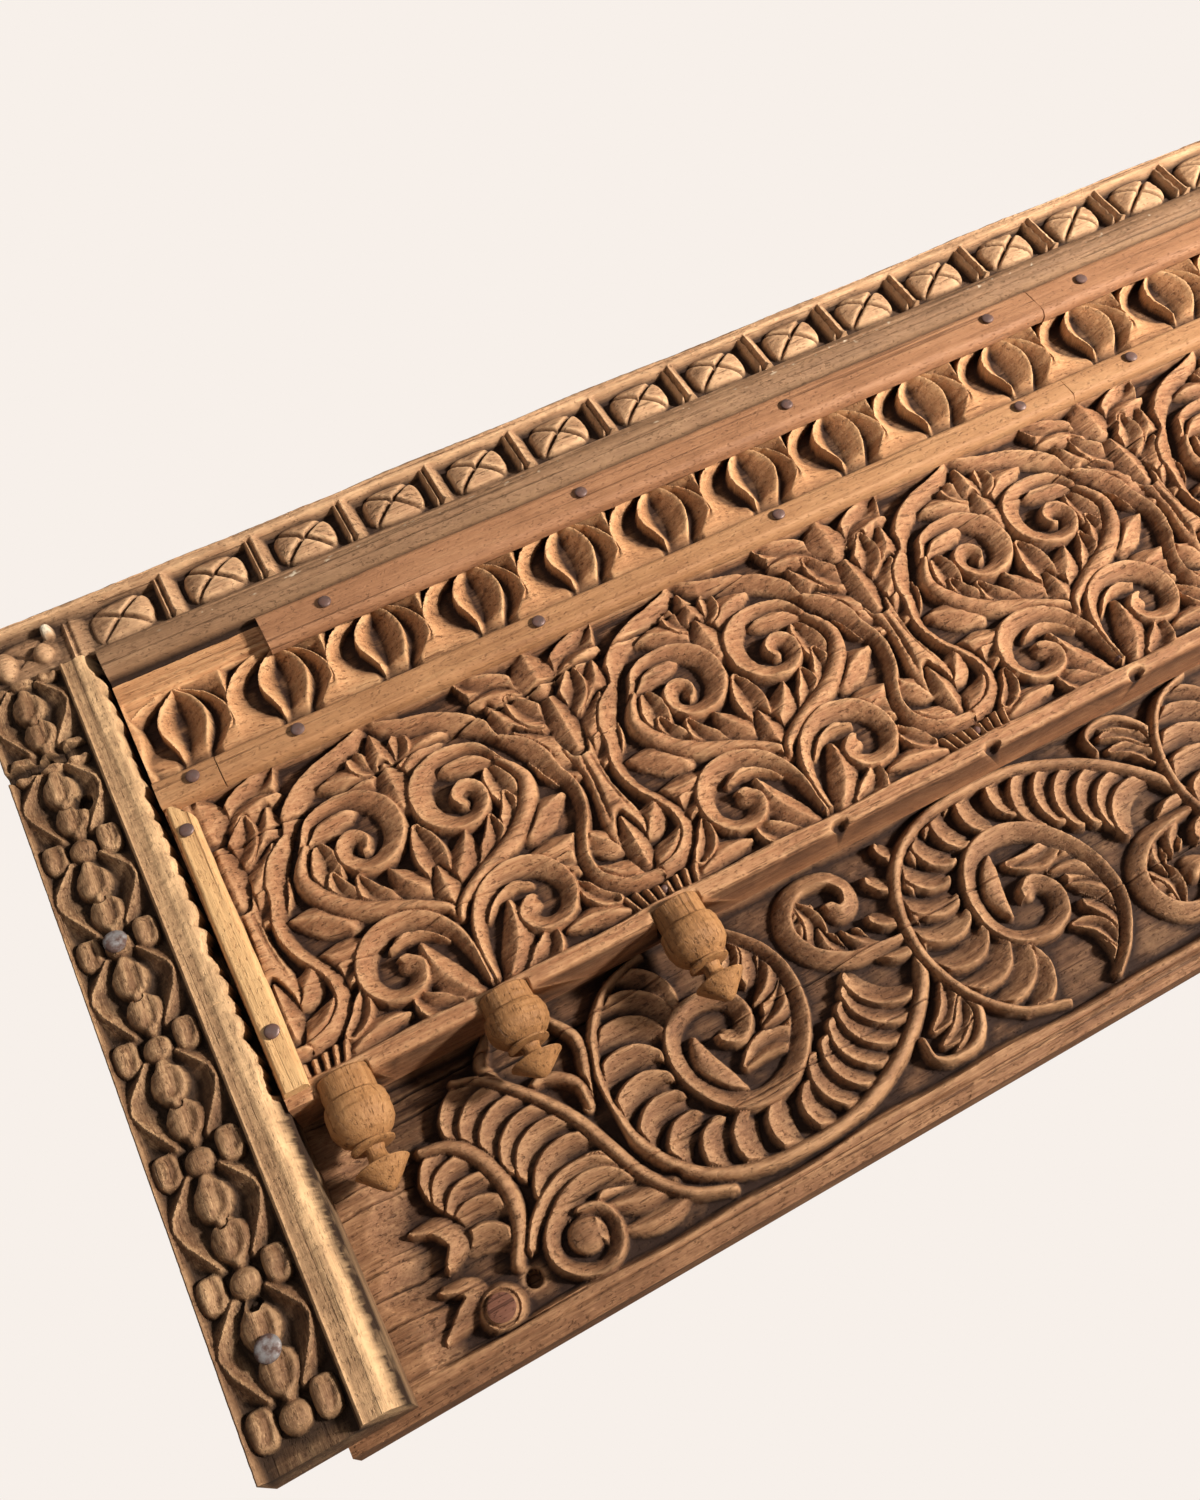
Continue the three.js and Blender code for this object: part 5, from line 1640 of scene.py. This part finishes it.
@dataclass
class Batten:
    """Strip nailed over a joint: a flat-backed section with rounded shoulders carried along its length.

    Attributes:
        node: CAD node that it replaces.
        grain: Direction that it runs in.
        seed: Start of the random draws.
        round_share: Share of its width that each rounded shoulder takes.
        corner: Length cut off its far end at one corner, negative at the low side.
    """

    node: str
    grain: Grain
    seed: int
    round_share: float = 0.22
    corner: float = 0.0

    def build(self, material: bpy.types.Material) -> bpy.types.Object:
        """Section loops along the strip, each nudged by smooth random wear, closed by two ends.

        The face's depth at a share s across is the crest less the shoulder's fall to the power of three.

        Args:
            material: Finish of the strip.

        Returns:
            The dressed strip.
        """
        low, high = to_layout(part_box(self.node))
        along, across = (0, 2) if self.grain is Grain.LENGTHWISE else (2, 0)
        length = high[along] - low[along]
        stops = np.linspace(0.0, 1.0, max(int(length / 3.0), 12))
        share = np.linspace(0.0, 1.0, 25)
        rng = np.random.default_rng(self.seed)
        fall = np.clip((np.abs(share - 0.5) - 0.5 + self.round_share) / self.round_share, 0.0, 1.0) ** 3
        thick = high[1] - low[1]
        dents = 0.22 * mottle((stops.size, share.size), (9, 5), rng)
        depth = low[1] + 0.35 + thick * 0.5 * fall[None, :] + dents
        wave = 0.35 * mottle((stops.size, 2), (14, 1), rng) + 0.25 * mottle((stops.size, 2), (3, 1), rng)
        edge_low = low[across] + 0.6 + wave[:, :1]
        edge_high = high[across] - 0.6 + wave[:, 1:]
        sideways = edge_low + (edge_high - edge_low) * share[None, :]
        back = np.full((stops.size, 2), high[1])
        loop_across = np.concatenate([sideways, edge_high, edge_low], axis=1)
        loop_depth = np.concatenate([depth, back], axis=1)
        run = low[along] + length * np.broadcast_to(stops[:, None], loop_across.shape)
        share_across = (loop_across - low[across]) / (high[across] - low[across])
        reach = share_across if self.corner >= 0.0 else 1.0 - share_across
        run = np.minimum(run, high[along] - abs(self.corner) * np.clip((reach - 0.35) / 0.65, 0.0, 1.0))
        corners = np.empty((*loop_across.shape, 3))
        corners[..., along] = run
        corners[..., across] = loop_across
        corners[..., 1] = loop_depth
        rows, columns = loop_across.shape
        index = np.arange(rows * columns).reshape(rows, columns)
        turned = np.roll(index, -1, 1)
        sides = np.stack([index[:-1], index[1:], turned[1:], turned[:-1]], -1).reshape(-1, 4)
        caps = [index[0], index[-1, ::-1]]
        if self.grain is Grain.LENGTHWISE:
            faces = [sides, caps]
        else:
            faces = [sides[:, ::-1], [cap[::-1] for cap in caps]]
        return new_piece(self.node + "_strip", corners.reshape(-1, 3), faces, self.node,
                         material, SHARP_EDGE)


PENDANT_PROFILE = (
    (0.0, 0.6), (0.02, 3.0), (0.08, 6.8), (0.14, 10.3), (0.185, 12.9), (0.2, 13.8), (0.209, 13.6),
    (0.216, 12.0), (0.224, 8.8), (0.245, 6.3), (0.28, 5.0), (0.33, 4.7), (0.36, 5.4), (0.366, 9.6),
    (0.378, 11.2),
    (0.396, 11.2), (0.404, 10.4), (0.41, 9.0), (0.43, 10.2), (0.47, 13.0), (0.53, 15.3), (0.6, 16.4),
    (0.67, 16.4), (0.735, 16.0), (0.775, 15.3), (0.786, 14.5), (0.792, 13.8), (0.8, 13.6), (0.9, 13.6),
    (0.985, 13.8), (1.0, 13.3),
)


@dataclass
class Turned:
    """Piece of round section: a profile of radius and height, turned about an axis.

    Attributes:
        node: CAD node that it replaces.
        slot: Record's material slot; not used.
        seed: Start of the random draws.
    """

    node: str
    slot: str
    seed: int

    def lathe(self, radius: np.ndarray, level: np.ndarray, sides: int,
              rough: float) -> tuple[np.ndarray, list]:
        """Rings of a profile with smooth random dents, closed by a point at each end.

        Args:
            radius: Radii along the profile.
            level: Heights along the profile, in the same order.
            sides: Vertices in a ring.
            rough: Depth of the dents as a share of the radius.

        Returns:
            Offsets from the axis as rows of x, y and height, and the faces.
        """
        rng = np.random.default_rng(self.seed)
        angle = np.linspace(0.0, 2 * np.pi, sides, endpoint=False)
        dents = 1.0 + rough * mottle((radius.size, sides), (3, 5), rng)
        dents[:, -1] = (dents[:, 0] + dents[:, -2]) / 2
        rings = np.stack([radius[:, None] * dents * np.cos(angle), radius[:, None] * dents * np.sin(angle),
                          np.broadcast_to(level[:, None], dents.shape)], -1)
        spots = np.concatenate([rings.reshape(-1, 3), [[0, 0, level[0]], [0, 0, level[-1]]]])
        index = np.arange(radius.size * sides).reshape(radius.size, sides)
        turned = np.roll(index, -1, axis=1)
        walls = np.stack([index[:-1], turned[:-1], turned[1:], index[1:]], -1).reshape(-1, 4)
        first, last = radius.size * sides, radius.size * sides + 1
        foot = np.stack([turned[0], index[0], np.full(sides, first)], -1)
        head = np.stack([index[-1], turned[-1], np.full(sides, last)], -1)
        return spots, [walls, foot, head]

    def pendant(self, material: bpy.types.Material) -> bpy.types.Object:
        """Turned drop: collar, bulging body, ring, thin neck and pointed knob, from the CAD node's box."""
        low, high = to_layout(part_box(self.node))
        length = high[2] - low[2]
        profile = np.array(PENDANT_PROFILE)
        share = np.unique(np.concatenate([np.linspace(0.0, 1.0, 70), profile[:, 0]]))
        radius = np.interp(share, profile[:, 0], profile[:, 1])
        spots, faces = self.lathe(radius, low[2] + length * share, 48, 0.02)
        spots[:, :2] += (low[:2] + high[:2]) / 2
        return new_piece(self.node + "_turned", spots, faces, self.node, material, SHARP_EDGE)

    def head(self, material: bpy.types.Material, dome: float = 0.7) -> bpy.types.Object:
        """Nail or peg head: a low dome with a worn rim, from the CAD node's box.

        Args:
            material: Finish of the head.
            dome: How far the face rounds over, as a share of its thickness.

        Returns:
            The dressed head.
        """
        low, high = to_layout(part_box(self.node))
        middle = (low + high) / 2
        across = (high[2] - low[2]) / 2
        thick = high[1] - low[1]
        share = np.linspace(0.0, 1.0, 9)
        radius = across * np.concatenate([[0.94, 1.0], np.cos(share * np.pi / 2 * 0.92)])
        level = thick * np.concatenate([[0.0, 1.0 - dome], 1.0 - dome + dome * np.sin(share * np.pi / 2)])
        spots, faces = self.lathe(radius, level, 26, 0.05)
        turned = np.stack([middle[0] + spots[:, 0], high[1] - spots[:, 2], middle[2] + spots[:, 1]], -1)
        return new_piece(self.node + "_head", turned, faces, self.node, material, HEAD_EDGE)


@dataclass
class Studio:
    """Camera, soft light, pale surroundings and floor.

    Attributes:
        eye: Camera position in layout millimetres.
        right: Camera's right in the layout.
        up: Camera's up in the layout.
        forward: Camera's view direction in the layout.
        focal_share: Focal length as a share of the picture's height.
    """

    eye: tuple[float, float, float] = (65.1, -636.2, -75.8)
    right: tuple[float, float, float] = (0.88129, 0.02313, -0.47201)
    up: tuple[float, float, float] = (0.41939, -0.49865, 0.75859)
    forward: tuple[float, float, float] = (0.21782, 0.86650, 0.44915)
    focal_share: float = 1332.2 / 1500.0

    def camera(self) -> None:
        """Camera solved from the panel's straight edges."""
        lens = bpy.data.cameras.new("camera")
        lens.sensor_width = 36.0
        lens.lens = 36.0 * self.focal_share
        lens.clip_start = 0.01
        made = bpy.data.objects.new("camera", lens)
        axes = np.array([self.right, self.up, [-f for f in self.forward]]).T
        turn = Matrix(axes.tolist()).to_4x4()
        turn.translation = place(np.array([self.eye]))[0]
        made.matrix_world = turn
        bpy.context.scene.collection.objects.link(made)
        bpy.context.scene.camera = made

    def lamp(self, name: str, spot: tuple[float, float, float], aim: tuple[float, float, float], size: float,
             power: float, tint: tuple[float, float, float]) -> None:
        """Square area lamp aimed at a point, both in layout millimetres."""
        light = bpy.data.lights.new(name, "AREA")
        light.size = size
        light.energy = power
        light.color = tint
        made = bpy.data.objects.new(name, light)
        start, end = place(np.array([spot, aim], float))
        back = (start - end) / np.linalg.norm(start - end)
        side = np.cross([0.0, 0.0, 1.0], back)
        side /= np.linalg.norm(side)
        turn = Matrix(np.array([side, np.cross(back, side), back]).T.tolist()).to_4x4()
        turn.translation = start
        made.matrix_world = turn
        bpy.context.scene.collection.objects.link(made)

    def surroundings(self) -> None:
        """Pale world: a soft fill for the panel, and a cream backdrop for what the camera sees."""
        world = bpy.data.worlds.new("studio")
        bpy.context.scene.world = world
        world.use_nodes = True
        tree = world.node_tree
        fill = tree.nodes["Background"]
        fill.inputs["Color"].default_value = (1.0, 0.95, 0.9, 1.0)
        fill.inputs["Strength"].default_value = 0.1
        backdrop = tree.nodes.new("ShaderNodeBackground")
        backdrop.inputs["Color"].default_value = (0.931, 0.871, 0.823, 1.0)
        rays = tree.nodes.new("ShaderNodeLightPath")
        either = tree.nodes.new("ShaderNodeMixShader")
        tree.links.new(rays.outputs["Is Camera Ray"], either.inputs[0])
        tree.links.new(fill.outputs[0], either.inputs[1])
        tree.links.new(backdrop.outputs[0], either.inputs[2])
        tree.links.new(either.outputs[0], tree.nodes["World Output"].inputs["Surface"])
        bpy.context.scene.view_settings.view_transform = "Standard"

    def floor(self) -> None:
        """Pale floor well below the panel."""
        mesh = bpy.data.meshes.new("floor")
        corners = np.array([(-900, -1800, -560), (1700, -1800, -560), (1700, 1200, -560),
                            (-900, 1200, -560)], float)
        mesh.from_pydata(place(corners).tolist(), [], [(0, 1, 2, 3)])
        made = bpy.data.objects.new("floor", mesh)
        paint = bpy.data.materials.new("floor_paint")
        paint.use_nodes = True
        paint.node_tree.nodes["Principled BSDF"].inputs["Base Color"].default_value = (0.86, 0.81, 0.76, 1.0)
        paint.node_tree.nodes["Principled BSDF"].inputs["Roughness"].default_value = 0.9
        mesh.materials.append(paint)
        bpy.context.scene.collection.objects.link(made)

    def light(self) -> None:
        """Key light from the right and front, low enough to rake the carving, and a weak fill."""
        self.lamp("key", (1890.0, -1365.0, -512.0), (300.0, 0.0, 230.0), 0.26, 112.0, (1.0, 0.94, 0.85))
        self.lamp("fill", (-300.0, -1500.0, 700.0), (350.0, 0.0, 250.0), 1.2, 5.0, (1.0, 0.97, 0.94))


# The fourth tone of each wood finish is the dirt and painted shade in its hollows.
CARVED = WoodFinish(
    "carved_brown_wood", (0.145, 0.058, 0.025), (0.305, 0.135, 0.061), (0.6, 0.345, 0.175),
    (0.026, 0.010, 0.005), wear=0.75)
LEAF_WOOD = WoodFinish(
    "leaf_band_wood", (0.26, 0.112, 0.047), (0.52, 0.255, 0.115), (0.76, 0.47, 0.24),
    (0.03, 0.012, 0.006), wear=0.7, shift=6.1)
LOWER_WOOD = WoodFinish(
    "lower_brown_wood", (0.095, 0.04, 0.018), (0.21, 0.096, 0.045), (0.52, 0.295, 0.15),
    (0.022, 0.009, 0.005), wear=0.7, shift=3.1)
RAIL_WOOD = WoodFinish(
    "weathered_rail_wood", (0.18, 0.092, 0.044), (0.39, 0.215, 0.114), (0.74, 0.465, 0.26),
    (0.03, 0.014, 0.008), wear=0.7, shift=7.7)
MOULDING_WOOD = WoodFinish(
    "dark_moulding_wood", (0.115, 0.058, 0.028), (0.23, 0.124, 0.065), (0.37, 0.222, 0.12),
    (0.03, 0.014, 0.008), wear=0.4, shift=7.7)
STILE_WOOD = WoodFinish(
    "weathered_stile_wood", (0.085, 0.038, 0.017), (0.175, 0.086, 0.041), (0.74, 0.47, 0.25),
    (0.03, 0.0145, 0.007), Grain.UPRIGHT, wear=0.28, shift=5.3)
UPPER_BATTEN_WOOD = WoodFinish(
    "red_batten_wood", (0.22, 0.098, 0.046), (0.34, 0.162, 0.08), (0.46, 0.25, 0.13),
    (0.09, 0.038, 0.018), wear=0.3, roughness=0.62, shift=8.4)
BATTEN_WOOD = WoodFinish(
    "golden_batten_wood", (0.26, 0.118, 0.05), (0.39, 0.195, 0.088), (0.52, 0.295, 0.145),
    (0.1, 0.042, 0.018), wear=0.3, roughness=0.62, shift=1.4)
END_BATTEN_WOOD = WoodFinish(
    "golden_end_batten_wood", (0.5, 0.26, 0.11), (0.68, 0.41, 0.19), (0.78, 0.52, 0.26),
    (0.16, 0.07, 0.03), Grain.UPRIGHT, wear=0.3, roughness=0.62, shift=2.6)
PENDANT_WOOD = WoodFinish(
    "pale_turned_wood", (0.17, 0.075, 0.026), (0.33, 0.158, 0.06), (0.5, 0.275, 0.12),
    (0.08, 0.034, 0.014), Grain.UPRIGHT, wear=0.3, roughness=0.6, shift=4.4)
PEG_WOOD = WoodFinish(
    "red_peg_wood", (0.085, 0.031, 0.018), (0.165, 0.066, 0.04), (0.25, 0.115, 0.072),
    (0.05, 0.02, 0.01), roughness=0.7, shift=9.2)
NAIL_IRON = IronFinish("forged_iron", (0.15, 0.095, 0.085), (0.12, 0.058, 0.046))
STILE_IRON = IronFinish("bare_iron", (0.3, 0.28, 0.28), (0.1, 0.055, 0.045))


def main() -> None:
    """Builds the studio, the boards, the strips and the small pieces in order."""
    logging.basicConfig(level=logging.INFO, format="%(message)s")
    studio = Studio()
    studio.camera()
    studio.surroundings()
    studio.floor()
    studio.light()
    groups = SharedEffects()
    ScrollBoard().build(CARVED.material(groups))
    LowerBoard().build(LOWER_WOOD.material(groups))
    LeafBand().build(LEAF_WOOD.material(groups))
    TopRail().build(RAIL_WOOD.material(groups), MOULDING_WOOD.material(groups))
    stile_wood = STILE_WOOD.material(groups)
    Stile("left_stile", 1, 51).build(stile_wood)
    Stile("right_stile", -1, 52).build(stile_wood)
    red = UPPER_BATTEN_WOOD.material(groups)
    for seed, node in enumerate(("upper_batten_1", "upper_batten_2")):
        Batten(node, Grain.LENGTHWISE, 61 + seed).build(red)
    golden = BATTEN_WOOD.material(groups)
    for seed, node in enumerate(("lower_batten_1", "lower_batten_2", "lower_batten_3")):
        Batten(node, Grain.LENGTHWISE, 65 + seed).build(golden)
    upright = END_BATTEN_WOOD.material(groups)
    for seed, (node, corner) in enumerate((("left_end_batten", 11.0), ("right_end_batten", -11.0))):
        Batten(node, Grain.UPRIGHT, 71 + seed, corner=corner).build(upright)
    pale = PENDANT_WOOD.material(groups)
    for number in (1, 2, 3):
        Turned(f"pendant_{number}", "pendant_wood", 80 + number).pendant(pale)
    iron = NAIL_IRON.material(groups)
    bare = STILE_IRON.material(groups)
    for seed, node in enumerate(sorted(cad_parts)):
        if "stile_nail" in node:
            Turned(node, "nail_iron", 100 + seed).head(bare)
        elif "nail" in node or node.startswith("pin_"):
            Turned(node, "nail_iron", 100 + seed).head(iron)
    Turned("wood_peg", "peg_wood", 99).head(PEG_WOOD.material(groups), 0.35)


if __name__ == "__main__":
    main()
